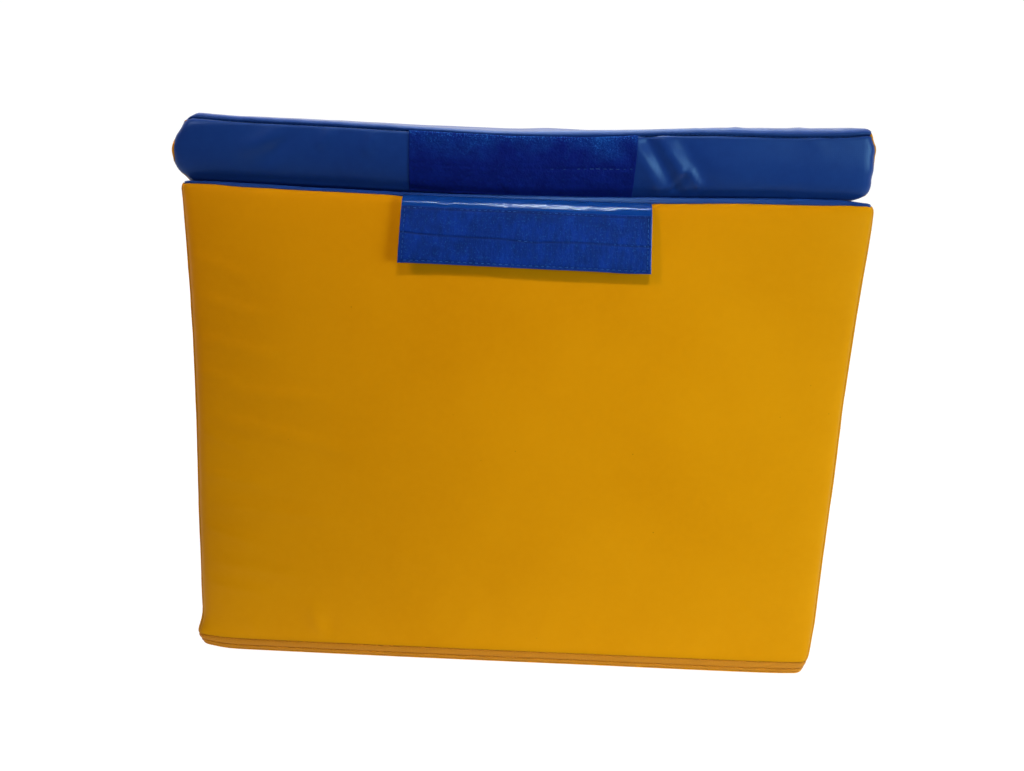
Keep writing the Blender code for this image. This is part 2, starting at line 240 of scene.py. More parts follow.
thick = Half(
    [(-HD, 0.0), (-HD, TALL_END), (HD, HINGE_END), (HD, 0.0)], [FRONT, RAMP, BACK, BASE],
    0.0, 1.0, lambda p: np.full(len(p), 0.0042),
    [level(0.0024), ramp_crown, level(0.0001), level(0.0), level(0.0034), level(0.0034)],
)
thin = Half(
    [(-HD, TALL_END + FOLD_GAP), (-HD, TOP), (HD, TOP), (HD, HINGE_END + FOLD_GAP)], [FRONT, BASE, BACK, RAMP],
    TOP, -1.0, lambda p: 0.0045 + 0.0045 * ease((-0.03 - p[:, 1]) / 0.06),
    [level(0.0012), ramp_crown, level(0.0001), level(0.0016), level(0.0036), level(0.0036)],
)

# heights of the visible seams across the front, as the soft block has settled
YELLOW_SEAM = [(-0.300, 0.4541), (-0.292, 0.4539), (-0.285, 0.4541), (-0.270, 0.4542), (-0.250, 0.4532), (-0.220, 0.4527), (-0.190, 0.4519),
               (-0.160, 0.4517), (-0.130, 0.4513), (-0.108, 0.4510), (0.000, 0.4516), (0.090, 0.4531), (0.112, 0.4536), (0.134, 0.4542),
               (0.156, 0.4551), (0.180, 0.4562), (0.205, 0.4570), (0.230, 0.4575), (0.256, 0.4581), (0.272, 0.4589), (0.286, 0.4595), (0.300, 0.4597)]
STRIP_RAISE = [(-0.300, 0.0002), (-0.285, 0.0003), (-0.270, 0.0008), (-0.250, 0.0014), (-0.220, 0.0011), (-0.190, 0.0009), (-0.108, 0.0009),
               (0.000, 0.0022), (0.090, 0.0032), (0.112, 0.0035), (0.134, 0.0030), (0.180, 0.0026), (0.230, 0.0031), (0.256, 0.0032),
               (0.272, 0.0026), (0.286, 0.0012), (0.300, 0.0008)]
FOLD_LINE = [(-0.300, 0.4556), (-0.257, 0.4560), (-0.170, 0.4550), (-0.005, 0.4535), (0.060, 0.4553), (0.151, 0.4594),
             (0.255, 0.4620), (0.300, 0.4622)]
NOSE_SEAM = [(-0.300, 0.5085), (-0.255, 0.5072), (-0.170, 0.5065), (-0.007, 0.5055), (0.061, 0.5078), (0.146, 0.5125),
             (0.249, 0.5150), (0.289, 0.5176), (0.300, 0.5180)]


def lift(p):
    """How far the fronts of both halves have settled up or down, dying away towards the hinge."""
    x, z = p[:, 0], p[:, 2]
    fade = np.clip((HD - p[:, 1]) / (2 * HD), 0, 1) ** 1.4
    low = through(x, YELLOW_SEAM) - 0.4508
    mid = through(x, FOLD_LINE) - 0.4565
    high = through(x, NOSE_SEAM) - 0.5066
    ramp_here = TALL_END + FOLD_GAP / 2 - SLOPE * (p[:, 1] + HD)
    below = z - ramp_here                       # under 0 in the thick half
    a = low * np.clip(z / np.maximum(ramp_here - 0.006, 1e-6), 0, 1)
    k = ease((below + 0.0042) / 0.0042)
    lower = a * (1 - k) + mid * k
    upper = mid + (high - mid) * ease(below / 0.050)
    # along the top edges it has died away before the zip's straight runs begin
    top = ease((z - 0.440) / 0.050)
    short = 1 - ease((p[:, 1] + HD) / 0.27)
    return np.where(below < 0, lower * fade, upper * (fade * (1 - top) + short * top))


def wobble(p, size, seed, amount):
    return np.column_stack([noise(p, size, seed), noise(p, size, seed + 5), noise(p, size, seed + 9)]) * amount


def settle_thick(p):
    """The soft form of the thick half: sides drawn in at mid height, corners worn round, front settled."""
    x, y, z = p.T
    p = p.copy()
    up = ease(z / 0.05)
    side = ease((np.abs(x) - 0.12) / 0.18) * np.sign(x)
    waist = -0.0030 * np.exp(-(((z - 0.285) / 0.135) ** 2))
    waist += 0.0016 * np.exp(-(((z - 0.455) / 0.05) ** 2))
    waist += np.where(x > 0, 0.0030 + 0.0032 * ease((z - 0.08) / 0.16), 0.0029) * up
    p[:, 0] += side * waist
    end = ease((np.abs(y) - 0.15) / 0.15) * np.sign(y)
    p[:, 1] += end * (-0.0016 * np.exp(-(((z - 0.24) / 0.13) ** 2)))
    p[:, 2] += lift(np.column_stack([x, y, z]))
    # the ramp cover's front edge puffs up into the gap under the nose
    edge = ease((z - 0.4493) / 0.0018) * np.exp(-((np.maximum(y + 0.2930, 0) / 0.0110) ** 2))
    p[:, 2] += edge * through(x, STRIP_RAISE)
    # the front panel is fuller in the middle and rolls away towards its seams
    near = np.exp(-np.maximum(y + HD, 0) / 0.030) * ease((z - 0.010) / 0.030)
    p[:, 1] += near * (0.0042 * np.exp(-np.maximum(TALL_END - z, 0) / 0.016) + (0.0032 + 0.0036 * ease(-x / 0.1)) * np.exp(-np.maximum(HW - np.abs(x), 0) / 0.015))
    p += bump_at(p, (-HW, -HD, 0.455), (0.010, 0.03, 0.012), (-0.0022, 0.0, 0.0))
    p += bump_at(p, (HW, -HD, 0.466), (0.012, 0.03, 0.012), (0.0012, 0.0, -0.0012))
    p += bump_at(p, (-HW, -HD, 0.014), (0.022, 0.020, 0.013), (-0.0060, -0.0004, 0.0))
    p += bump_at(p, (-HW, -HD, 0.0), (0.017, 0.020, 0.016), (0.0, 0.0, 0.0040))
    p += bump_at(p, (HW, -HD, -0.002), (0.022, 0.013, 0.012), (-0.0052, 0.0016, 0.0))
    bow = np.clip(1 - ((x - 0.05) / (HW + 0.05)) ** 2, 0, 1) * np.exp(-(z / 0.06)) * np.clip(-y / HD, 0, 1) ** 3
    p[:, 1] -= 0.0026 * bow + 0.0016 * ease((x - 0.05) / 0.2) * np.exp(-(z / 0.05)) * np.clip(-y / HD, 0, 1) ** 3
    w = wobble(p, 0.085, 3, 0.0009) * np.array([1, 1, 0.7]) * up[:, None]
    w[:, 1] = np.where(y > 0, w[:, 1] * (1 - 0.9 * ease((y - 0.270) / 0.020)) - 0.0006 * ease((y - 0.270) / 0.025), w[:, 1])
    return p + w


NOSE_LEFT = [(0.4540, 0.0015), (0.4580, 0.0005), (0.4605, -0.0012), (0.4640, -0.0036), (0.4680, -0.0050), (0.4735, -0.0054),
             (0.4800, -0.0056), (0.4840, -0.0044), (0.4870, -0.0030), (0.4930, -0.0002), (0.4970, 0.0030), (0.5050, 0.0078), (0.5080, 0.0098),
             (0.5110, 0.0120), (0.5140, 0.0125)]
NOSE_RIGHT = [(0.4540, -0.0085), (0.4580, -0.0068), (0.4600, -0.0030), (0.4620, 0.0010), (0.4650, 0.0044), (0.4700, 0.0060),
              (0.4750, 0.0064), (0.4800, 0.0056), (0.4880, 0.0058), (0.4940, 0.0050), (0.4990, 0.0044), (0.5050, 0.0046), (0.5080, 0.0040),
              (0.5110, 0.0026), (0.5140, 0.0014)]


TOP_DROP = [(-0.300, 0.0018), (-0.170, 0.0026), (-0.060, 0.0034), (0.000, 0.0030), (0.030, 0.0014), (0.060, 0.0011), (0.110, 0.0015),
            (0.140, 0.0013), (0.170, 0.0006), (0.200, 0.0), (0.250, -0.0007), (0.300, 0.0)]


def settle_thin(p):
    """The soft form of the thin half: its nose hangs a little to one side, and its corners are dragged in by the seams."""
    p = p.copy()
    x, y, z = p.T
    front = np.clip((HD - y) / (2 * HD), 0, 1)
    # the nose is fuller above and rolls away under its lower half
    tall = 0.049 - 0.015 * ease((x + 0.05) / 0.20)
    low = np.clip(1 - (z - (TALL_END + FOLD_GAP)) / tall, 0, 1)
    roll = ((0.0098 + 0.0032 * ease((-0.02 - x) / 0.12)) * low**2 + 0.0010 * low) * np.exp(-np.maximum(y + HD, 0) / 0.022)
    p[:, 2] += lift(np.column_stack([x, y, z]))
    # the base, on top here, has sunk between the seams
    p[:, 2] -= through(x, TOP_DROP) * ease((y + HD) / 0.018) * ease((z - 0.470) / 0.040) * (1 + 0.5 * (y + HD) / (2 * HD))
    p[:, 1] += roll
    # the ends of the nose, where the seams drag the corners in and the foam bulges between them
    near = np.exp(-(((y + HD) / 0.055) ** 2))
    left = np.exp(-(((x + HW) / 0.036) ** 2)) * near
    right = np.exp(-(((x - HW) / 0.030) ** 2)) * near
    p[:, 0] += left * through(z, NOSE_LEFT) + right * through(z, NOSE_RIGHT)
    p[:, 1] += 0.004 * left * ease((z - 0.500) / 0.012) + 0.003 * right * ease((0.464 - z) / 0.006)
    p[:, 0] -= 0.0042 * ease((0.02 - y) / 0.30)
    w = wobble(p, 0.085, 3, 0.0009) * np.array([1, 1, 0.7])
    w[:, 1] *= 1 - 0.9 * ease((y - 0.270) / 0.020)
    # the zip's straight runs stay straight, so that the slider can run along them
    w *= (1 - 0.92 * ease((np.abs(x) - 0.265) / 0.020) * ease((z - 0.470) / 0.015) * ease((y + 0.080) / 0.050))[:, None]
    return p + w


thick.settle = settle_thick
thin.settle = settle_thin


# ------------------------------------------------------------------ grids
NEAR = [0.0, 0.00008, 0.00025, 0.00055, 0.00095, 0.0014, 0.0020, 0.0029, 0.0041, 0.0057, 0.0078, 0.0104, 0.0136]
DEEP = [0.0012]   # the seam allowance inside


def rolled(d, r=ROLL):
    return r - np.sqrt(np.maximum(r**2 - np.maximum(r - d, 0) ** 2, 0))


def rows(a, b, step, roll_a=ROLL, roll_b=ROLL):
    """Positions across a panel between seams at a and b: the sunk allowance, fine rows by each seam, then even rows."""
    near = [v for v in NEAR if v < (b - a) / 2 - step / 3]
    inner_a, inner_b = a + near[-1], b - near[-1]
    n = max(1, int(round((inner_b - inner_a) / step)))
    even = np.linspace(inner_a, inner_b, n + 1)[1:-1]
    pos = np.concatenate([[a] * len(DEEP), a + np.array(near), even, b - np.array(near[::-1]), [b] * len(DEEP)])
    sink = np.maximum(rolled(pos - a, roll_a), rolled(b - pos, roll_b))
    sink[: len(DEEP)] = roll_a + np.array(DEEP)
    sink[-len(DEEP):] = roll_b + np.array(DEEP[::-1])
    run = pos.copy()
    run[: len(DEEP)] -= np.array(DEEP) + roll_a
    run[-len(DEEP):] += np.array(DEEP[::-1]) + roll_b
    return pos, sink, run


def grid_faces(nu, nv, wrap_u=False):
    i = np.arange(nu if wrap_u else nu - 1)
    j = np.arange(nv - 1)
    i, j = np.meshgrid(i, j, indexing="ij")
    i2 = (i + 1) % nu
    return np.stack([i * nv + j, i2 * nv + j, i2 * nv + j + 1, i * nv + j + 1], -1).reshape(-1, 4)


def vertex_normals(v, f):
    a, b, c, d = (v[f[:, k]] for k in range(4))
    fn = np.cross(c - a, d - b)
    n = np.zeros_like(v)
    for k in range(4):
        np.add.at(n, f[:, k], fn)
    return n / np.maximum(np.linalg.norm(n, axis=1), 1e-15)[:, None]


def mesh_object(name, verts, faces, uv=None, smooth=True, marks=None):
    """A mesh object from numpy arrays. faces may be quads, or a list of arrays; uv is per vertex; marks are float attributes per vertex."""
    groups = faces if isinstance(faces, list) else [faces]
    me = bpy.data.meshes.new(name)
    me.vertices.add(len(verts))
    me.vertices.foreach_set("co", np.asarray(verts, np.float32).ravel())
    loops = np.concatenate([g.ravel() for g in groups])
    sizes = np.concatenate([np.full(len(g), g.shape[1]) for g in groups])
    starts = np.concatenate([[0], np.cumsum(sizes)[:-1]])
    me.loops.add(len(loops))
    me.loops.foreach_set("vertex_index", loops.astype(np.int32))
    me.polygons.add(len(sizes))
    me.polygons.foreach_set("loop_start", starts.astype(np.int32))
    me.polygons.foreach_set("use_smooth", np.full(len(sizes), smooth))
    me.update(calc_edges=True)
    if uv is not None:
        layer = me.uv_layers.new(name="flat")
        layer.data.foreach_set("uv", np.asarray(uv, np.float32)[loops].ravel())
    for key, val in (marks or {}).items():
        at = me.attributes.new(key, "FLOAT", "POINT")
        at.data.foreach_set("value", np.asarray(val, np.float32))
    me.validate()
    ob = bpy.data.objects.new(name, me)
    bpy.context.scene.collection.objects.link(ob)
    return ob


def shell(name, outer, nu, nv, uv, marks=None, thick_by=VINYL, outward=None):
    """A closed thin shell on a grid of outer points: the grid, its offset inside and a rim."""
    f = grid_faces(nu, nv)
    n = vertex_normals(outer, f)
    if outward is not None and (n * outward).sum() < 0:
        f = f[:, ::-1]
        n = -n
    inner = outer - n * thick_by
    k = len(outer)
    idx = np.arange(nu * nv).reshape(nu, nv)
    ring = np.concatenate([idx[:-1, 0], idx[-1, :-1], idx[:0:-1, -1], idx[0, :0:-1]])
    nxt = np.roll(ring, -1)
    rim = np.column_stack([nxt, ring, ring + k, nxt + k])
    flipped = not np.array_equal(f[0], grid_faces(nu, nv)[0])
    rim = rim[:, ::-1] if flipped else rim
    faces = [f, f[:, ::-1] + k, rim]
    verts = np.concatenate([outer, inner])
    both = {key: np.concatenate([v, v]) for key, v in (marks or {}).items()}
    return mesh_object(name, verts, faces, np.concatenate([uv, uv]), marks=both)


# ------------------------------------------------------------------ creases and puckers
def ridges(w):
    """Turns smooth noise into narrow crests."""
    r = 1 - np.abs(w)
    return r**4 - 0.25


def seam_pucker(s, d, seed, amount, spacing=0.013, reach=0.011):
    """Small gathers along a seam: s runs along it and d away from it."""
    mask = 0.35 + 0.65 * ease((noise2(s, 0 * s, 0.11, seed=seed + 3) + 0.45) / 0.9)
    w = noise2(s, d, spacing, 0.05, seed=seed)
    return amount * mask * (np.abs(w) ** 0.8 * np.sign(w)) * np.exp(-d / reach) * (1 - np.exp(-d / 0.0016))


def seam_drag(s, d, seed, amount, spacing=0.045, reach=0.060, slant=0.25):
    """Longer, fainter drag lines that leave a seam at a slant."""
    line = s + slant * d
    mask = ease((noise2(line, 0 * s, 0.09, seed=seed + 4) + 0.5) / 1.0)
    w = noise2(line, d, spacing, 0.35, seed=seed)
    return amount * mask * ridges(w) * np.exp(-d / reach) * (1 - np.exp(-d / 0.004))


def fold(px, pz, a, b, wide_a, wide_b, amount, ends=0.25):
    """One crease from a to b, in the plane of a panel; the width goes from wide_a to wide_b."""
    a, b = np.array(a, float), np.array(b, float)
    d = b - a
    length = np.hypot(*d)
    t = ((px - a[0]) * d[0] + (pz - a[1]) * d[1]) / length**2
    off = ((px - a[0]) * d[1] - (pz - a[1]) * d[0]) / length
    w = wide_a + (wide_b - wide_a) * np.clip(t, 0, 1)
    along = ease(t / ends + 0.0) * ease((1 - t) / ends)
    return amount * np.exp(-((off / w) ** 2)) * along


def wave_fold(px, pz, a, b, wide, amount, ends=0.3):
    """A crease with a crest on one side and a hollow on the other."""
    a, b = np.array(a, float), np.array(b, float)
    d = b - a
    length = np.hypot(*d)
    t = ((px - a[0]) * d[0] + (pz - a[1]) * d[1]) / length**2
    off = ((px - a[0]) * d[1] - (pz - a[1]) * d[0]) / length / wide
    return amount * off * np.exp(0.5 - off**2) * 1.4 * ease(t / ends) * ease((1 - t) / ends)


def finish_piece(ob, body, nodes=()):
    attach(ob, body)
    if nodes:
        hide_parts(*nodes)
    return ob


WRAP_LEFT = [(0.4585, 0.0030), (0.4615, 0.0090), (0.4690, 0.0090), (0.4735, 0.0030), (0.4840, 0.0028), (0.4885, 0.0088), (0.5070, 0.0080), (0.5095, 0.0)]
WRAP_RIGHT = [(0.4585, 0.0040), (0.4615, 0.0120), (0.4700, 0.0118), (0.4800, 0.0100), (0.4900, 0.0062), (0.4960, 0.0036), (0.5020, 0.0013), (0.5060, 0.0006), (0.5090, 0.0)]


def wrap_round(half, sign, z):
    """How far a front panel comes round its upright corner, on the side given by sign, before its seam."""
    if half is thick:
        return np.where(sign < 0, 0.0052, 0.0034) * ease((z - 0.014) / 0.025) * ease((0.4515 - z) / 0.014)
    return np.where(sign < 0, through(z, WRAP_LEFT), through(z, WRAP_RIGHT))


TOP_WRAP = 0.0060    # how far the top panel comes down the left side at the nose


NOSE_DROP = [(-0.300, 0.0), (-0.270, 0.0004), (-0.170, 0.0011), (0.000, 0.0018), (0.060, 0.0024), (0.150, 0.0018), (0.250, 0.0024),
             (0.278, 0.0026), (0.300, 0.0)]


def on_loop(half, X, Q):
    """half.loop, with the nose's top seam drawn down by its own line."""
    if half is thin:
        Q = Q - through(X, NOSE_DROP) * np.exp(-np.abs(Q - (thin.length[0] - SEAM_BELOW)) / 0.010)
    return half.loop(Q)


def band_panel(name, half, q0, q1, step_x, step_q, detail=None, puckers=(0.0004, 0.0004, 0.0004, 0.0004), drags=(0.0002,) * 4,
               seed=1, dents=0.0008, rolls=(ROLL, ROLL)):
    """A panel that goes across the width from x = -HW to HW, between two places on the section's loop."""
    xs, sx, rx = rows(-HW + SEAM, HW - SEAM, step_x)
    qs, sq, rq = rows(q0 + SEAM, q1 - SEAM, step_q, *rolls)
    X, Q = (g.ravel() for g in np.meshgrid(xs, qs, indexing="ij"))
    SX, SQ = (g.ravel() for g in np.meshgrid(sx, sq, indexing="ij"))
    UX, UQ = (g.ravel() for g in np.meshgrid(rx, rq, indexing="ij"))
    yz, face = on_loop(half, X, Q)
    P = np.column_stack([X, yz])
    more = wrap_round(half, np.sign(X), P[:, 2]) * (face == FRONT)
    wide = np.abs(X) + more * np.exp(-((HW - np.abs(X)) / 0.012))
    P[:, 0] = np.sign(X) * np.minimum(wide, HW)
    P[:, 1] += np.maximum(wide - HW, 0)
    if half is thin:
        on_top = (face == BASE) & (X < 0)
        wide = np.abs(X) + TOP_WRAP * np.exp(-np.maximum(P[:, 1] + HD - 0.010, 0) / 0.03) * np.exp(-((HW - np.abs(X)) / 0.012))
        P[on_top, 0] = -np.minimum(wide, HW)[on_top]
        P[on_top, 2] -= np.maximum(wide - HW, 0)[on_top]
    return lay_panel(name, half, P, face, np.hypot(SX, SQ), (len(xs), len(qs)), np.column_stack([UX, UQ]),
                     (X + HW, HW - X, Q - q0, q1 - Q), (Q, Q, X, X), detail, puckers, drags, seed, dents)


def panel_height(half, P, face, dist, along, detail, puckers, drags, seed, dents):
    """How far a panel stands off the rounded form: crown, dents, gathers along its seams and single creases."""
    h = half.crown(P, face)
    edge = np.minimum.reduce([np.maximum(d, 0) for d in dist])
    flat = 1 - np.exp(-edge / 0.030)
    h = h + dents * flat * (fractal(P, 0.14, seed + 50, 3, 0.5))
    for k in range(4):
        d = np.maximum(dist[k], 0)
        if puckers[k]:
            h = h + seam_pucker(along[k], d, seed * 7 + k, puckers[k])
        if drags[k]:
            h = h + seam_drag(along[k], d, seed * 11 + k, drags[k], slant=(0.28, -0.22, 0.15, -0.2)[k])
    if detail is not None:
        h = h + detail(P, face)
    return h, edge


def lay_panel(name, half, P, face, sink, shape, uv, dist, along, detail, puckers, drags, seed, dents):
    p, n = half.rounded(P)
    h, edge = panel_height(half, P, face, dist, along, detail, puckers, drags, seed, dents)
    q = half.settle(p + n * (h - sink)[:, None])
    # seam mark: 1 on the allowance rolled under each seam, falling from 1 at the seam over a few mm; the vinyl looks
    # paint shade with it in the seam grooves
    marks = {"seam": np.exp(-edge / 0.0035) * (sink < ROLL * 1.01) + (sink >= ROLL * 1.01)}
    return shell(name, q, *shape, uv, marks, outward=n)


def side_panel(name, half, sign, step_y, step_h, zlow, zhigh, columns, detail=None, puckers=(0.0004,) * 4, drags=(0.0002,) * 4,
               seed=1, dents=0.0009):
    """A panel on the side x = sign * HW, between two lines zlow(y) and zhigh(y)."""
    ys, sy, ry = rows(-HD + SEAM, HD - SEAM, step_y)
    if columns:
        extra = np.array(columns)
        keep = np.array([np.min(np.abs(y - extra)) > 0.0006 for y in ys])
        keep[: 3] = keep[-3:] = True
        ys = np.concatenate([ys[keep], extra])
        sy = np.concatenate([sy[keep], 0 * extra])
        ry = np.concatenate([ry[keep], extra])
        order = np.lexsort((ry, ys))
        ys, sy, ry = ys[order], sy[order], ry[order]
    heights = zhigh(ys) - zlow(ys)
    nominal = heights.max()
    hs, sh, rh = rows(SEAM, nominal - SEAM, step_h)
    border = 0.0140
    Y, H = (g.ravel() for g in np.meshgrid(ys, hs, indexing="ij"))
    SY, SH = (g.ravel() for g in np.meshgrid(sy, sh, indexing="ij"))
    RY, RH = (g.ravel() for g in np.meshgrid(ry, rh, indexing="ij"))
    lo, hi = zlow(Y), zhigh(Y)
    tall = hi - lo
    # the border rows keep their distance from the seams, and the rows between share what is left
    mid = (np.clip(H, border, nominal - border) - border) / (nominal - 2 * border)
    Z = lo + np.minimum(H, border) + mid * (tall - 2 * border) + np.maximum(H - (nominal - border), 0)
    at_y = Y + wrap_round(half, sign, Z) * np.exp(-(Y + HD) / 0.012)
    if half is thin and sign < 0:
        Z = Z - TOP_WRAP * np.exp(-np.maximum(Y + HD - 0.010, 0) / 0.03) * np.exp(-(hi - Z) / 0.012)
    P = np.column_stack([sign * (HW - np.maximum(-HD - at_y, 0)), np.maximum(at_y, -HD), Z])
    face = np.full(len(Y), RIGHT if sign > 0 else LEFT)
    d_low = np.maximum(Z - lo, 0)
    d_high = np.maximum(hi - Z, 0)
    uv = np.column_stack([RY, Z + (RH - H)])
    return lay_panel(name, half, P, face, np.hypot(SY, SH), (len(ys), len(hs)), uv,
                     (Y + HD, HD - Y, d_low, d_high), (Z, Z, Y, Y), detail, puckers, drags, seed, dents)


def thick_ramp(y):
    return TALL_END - SLOPE * (y + HD)


def thin_ramp(y):
    return thick_ramp(y) + FOLD_GAP


# detail of single panels
def tall_end_detail(P, face):
    x, z = P[:, 0], P[:, 2]
    h = np.zeros(len(P))
    # drag lines from the left seam
    for a, b, w, m in [
        ((-0.297, 0.3170), (-0.205, 0.2990), 0.0050, 0.00035), ((-0.297, 0.2835), (-0.250, 0.2755), 0.0040, 0.00045),
        ((-0.297, 0.2700), (-0.160, 0.2640), 0.0050, 0.00040), ((-0.297, 0.2440), (-0.130, 0.2130), 0.0060, 0.00045),
        ((-0.297, 0.2290), (-0.240, 0.2080), 0.0040, 0.00050), ((-0.297, 0.1860), (-0.225, 0.1780), 0.0045, 0.00050),
        ((-0.297, 0.1580), (-0.150, 0.1460), 0.0055, 0.00045), ((-0.297, 0.1330), (-0.235, 0.1170), 0.0045, 0.00045),
        ((-0.297, 0.0990), (-0.190, 0.0850), 0.0050, 0.00040), ((-0.297, 0.0750), (-0.225, 0.0660), 0.0045, 0.00035),
        ((-0.297, 0.3560), (-0.215, 0.3350), 0.0050, 0.00030), ((-0.297, 0.3900), (-0.230, 0.3700), 0.0050, 0.00030),
    ]:
        h += fold(x, z, a, b, w, w * 1.5, m * 1.3, ends=0.30) + wave_fold(x, z, a, b, w * 1.3, m * 1.1, ends=0.28)
    # short folds that stand up from the zip
    for a, b, w, m in [
        ((-0.180, 0.0150), (-0.194, 0.0640), 0.0060, 0.00075), ((-0.168, 0.0150), (-0.176, 0.0500), 0.0050, -0.00045),
        ((-0.052, 0.0150), (-0.030, 0.0660), 0.0065, 0.00045), ((0.027, 0.0150), (0.042, 0.0680), 0.0060, 0.00040),
        ((0.060, 0.0150), (0.088, 0.0500), 0.0055, 0.00035), ((0.170, 0.0150), (0.196, 0.0560), 0.0060, 0.00030),
        ((-0.245, 0.0150), (-0.252, 0.0420), 0.0050, 0.00035), ((0.118, 0.0150), (0.122, 0.0400), 0.0050, 0.00025),
    ]:
        h += fold(x, z, a, b, w, w * 1.5, m * 1.4, ends=0.4)
    # faint handling creases in the middle of the panel
    for a, b, w, m in [
        ((0.165, 0.2560), (0.215, 0.2190), 0.0022, 0.00030), ((0.082, 0.2530), (0.159, 0.2270), 0.0040, 0.00030),
        ((-0.056, 0.2220), (-0.031, 0.1880), 0.0022, -0.00028), ((0.008, 0.2690), (0.027, 0.2500), 0.0024, 0.00022),
        ((-0.219, 0.4010), (-0.180, 0.3760), 0.0040, 0.00025), ((-0.250, 0.4260), (-0.193, 0.4150), 0.0035, 0.00035),
        ((0.095, 0.2880), (0.175, 0.2420), 0.0050, -0.00025), ((0.232, 0.1800), (0.262, 0.1500), 0.0040, 0.00025),
        ((-0.120, 0.1200), (-0.070, 0.0900), 0.0050, 0.00022), ((0.150, 0.3900), (0.210, 0.3650), 0.0050, 0.00022),
    ]:
        h += fold(x, z, a, b, w, w, m, ends=0.4)
    # the vinyl is drawn back where the flap is sewn in
    h -= 0.0007 * np.exp(-(((z - 0.447) / 0.010) ** 2)) * ease((0.118 - np.abs(x)) / 0.012)
    return 1.7 * h


def nose_detail(P, face):
    x, z = P[:, 0] - 0.0042, P[:, 2]
    h = np.zeros(len(P))
    up = z
    # two full folds that run from the loop patch's corner down to the lower edge, and a little tuck between their feet
    h += fold(x, up, (0.0850, 0.5080), (0.1200, 0.4560), 0.0060, 0.0064, 0.0021, ends=0.10)
    h += fold(x, up, (0.0975, 0.5060), (0.1360, 0.4570), 0.0050, 0.0052, -0.0024, ends=0.12)
    h += fold(x, up, (0.1090, 0.5070), (0.1510, 0.4565), 0.0062, 0.0066, 0.0023, ends=0.12)
    h += fold(x, up, (0.1250, 0.5050), (0.1680, 0.4570), 0.0070, 0.0080, -0.0015, ends=0.25)
    h += wave_fold(x, up, (0.1370, 0.4775), (0.1262, 0.4600), 0.0036, 0.0017, ends=0.15)
    h += wave_fold(x, up, (0.1370, 0.4775), (0.1510, 0.4600), 0.0036, -0.0017, ends=0.15)
    # faint folds on the left of the patch
    h += fold(x, up, (-0.2050, 0.5020), (-0.2560, 0.4780), 0.0060, 0.0080, 0.0027, ends=0.4)
    h += fold(x, up, (-0.1950, 0.5020), (-0.2350, 0.4700), 0.0050, 0.0060, -0.0022, ends=0.4)
    h += fold(x, up, (-0.1650, 0.5060), (-0.1830, 0.4850), 0.0040, 0.0050, 0.0019, ends=0.4)
    h += fold(x, up, (-0.1300, 0.5060), (-0.1420, 0.4800), 0.0040, 0.0050, 0.0019, ends=0.4)
    # gathers under the loop patch
    for x0, x1, m in [(-0.072, -0.066, 0.0004), (-0.030, -0.022, 0.0005), (0.000, 0.014, -0.0005), (0.024, 0.040, 0.0006),
                      (0.052, 0.072, -0.0006), (0.066, 0.086, 0.0006)]:
        h += fold(x, up, (x0, 0.5090), (x1, 0.4720), 0.0060, 0.0070, m, ends=0.3)
    # right part: shallow folds towards the corner
    h += fold(x, up, (0.2350, 0.5090), (0.2620, 0.4880), 0.0060, 0.0070, 0.0005, ends=0.4)
    h += fold(x, up, (0.2000, 0.4640), (0.2500, 0.4700), 0.0040, 0.0040, 0.0005, ends=0.4)
    return h


def top_detail(P, face):
    """The base of the thin half, which is on top here: more gathered at the front right."""
    x, y = P[:, 0], P[:, 1]
    front = np.exp(-np.maximum(y + HD, 0) / 0.030)
    h = 0.0009 * front * ease((x - 0.10) / 0.08) * ridges(noise2(x + 0.4 * y, y, 0.022, 0.2, seed=91))
    for a, b, w, m in [((0.178, -0.300), (0.190, -0.270), 0.004, 0.0008), ((0.232, -0.300), (0.246, -0.262), 0.005, 0.0008),
                       ((0.268, -0.300), (0.270, -0.276), 0.004, -0.0007)]:
        h += fold(x, y, a, b, w, w, m, ends=0.5)
    return h


zip_q = ZIP_SEAM
front_len = TALL_END
ramp_len = math.hypot(2 * HD, TALL_END - HINGE_END)
fine = 0.0042
coarse = 0.0075

tall_end = band_panel("tall_end_panel_cover", thick, zip_q, front_len - SEAM_BELOW, fine, fine, tall_end_detail,
                      puckers=(0.00030, 0.00022, 0.00022, 0.00030), drags=(0.0003, 0.00022, 0.00016, 0.00014), seed=1, dents=0.0009)
thick_ramp_cover = band_panel("thick_ramp_cover", thick, front_len - SEAM_BELOW, front_len + ramp_len + SEAM_BELOW, fine * 1.2, coarse,
                              puckers=(0.0004, 0.0004, 0.0003, 0.0003), drags=(0.0001,) * 4, seed=2, dents=0.0003)
hinge_end_thick = band_panel("thick_hinge_end_cover", thick, front_len + ramp_len + SEAM_BELOW, front_len + ramp_len + HINGE_END,
                             coarse, coarse, seed=3, puckers=(0.0004,) * 4, drags=(0.0004,) * 4, dents=0.0009)

total = thin.length.sum()
NOSE = dict(detail=nose_detail, puckers=(0.0003, 0.0003, 0.00025, 0.00040), drags=(0.0, 0.0, 0.0, 0.0), seed=5, dents=0.0005)
UNDER = 0.0125
nose = band_panel("nose_cover", thin, -UNDER, thin.length[0] - SEAM_BELOW, 0.0032, 0.0022, rolls=(ROLL, 0.0040), **NOSE)
thin_top = band_panel("thin_base_cover", thin, thin.length[0] - SEAM_BELOW, thin.length[0] + thin.length[1], fine * 1.1, coarse, top_detail,
                      puckers=(0.0004, 0.0004, 0.00055, 0.0003), drags=(0.0004, 0.0004, 0.0003, 0.0004), seed=6, dents=0.0010, rolls=(0.0030, ROLL))
q_back = thin.length[0] + thin.length[1]
hinge_end_thin = band_panel("thin_hinge_end_cover", thin, q_back + ZIP_SEAM, q_back + thin.length[2], coarse, coarse, seed=7,
                            puckers=(0.0004,) * 4, drags=(0.0004,) * 4, dents=0.0009)
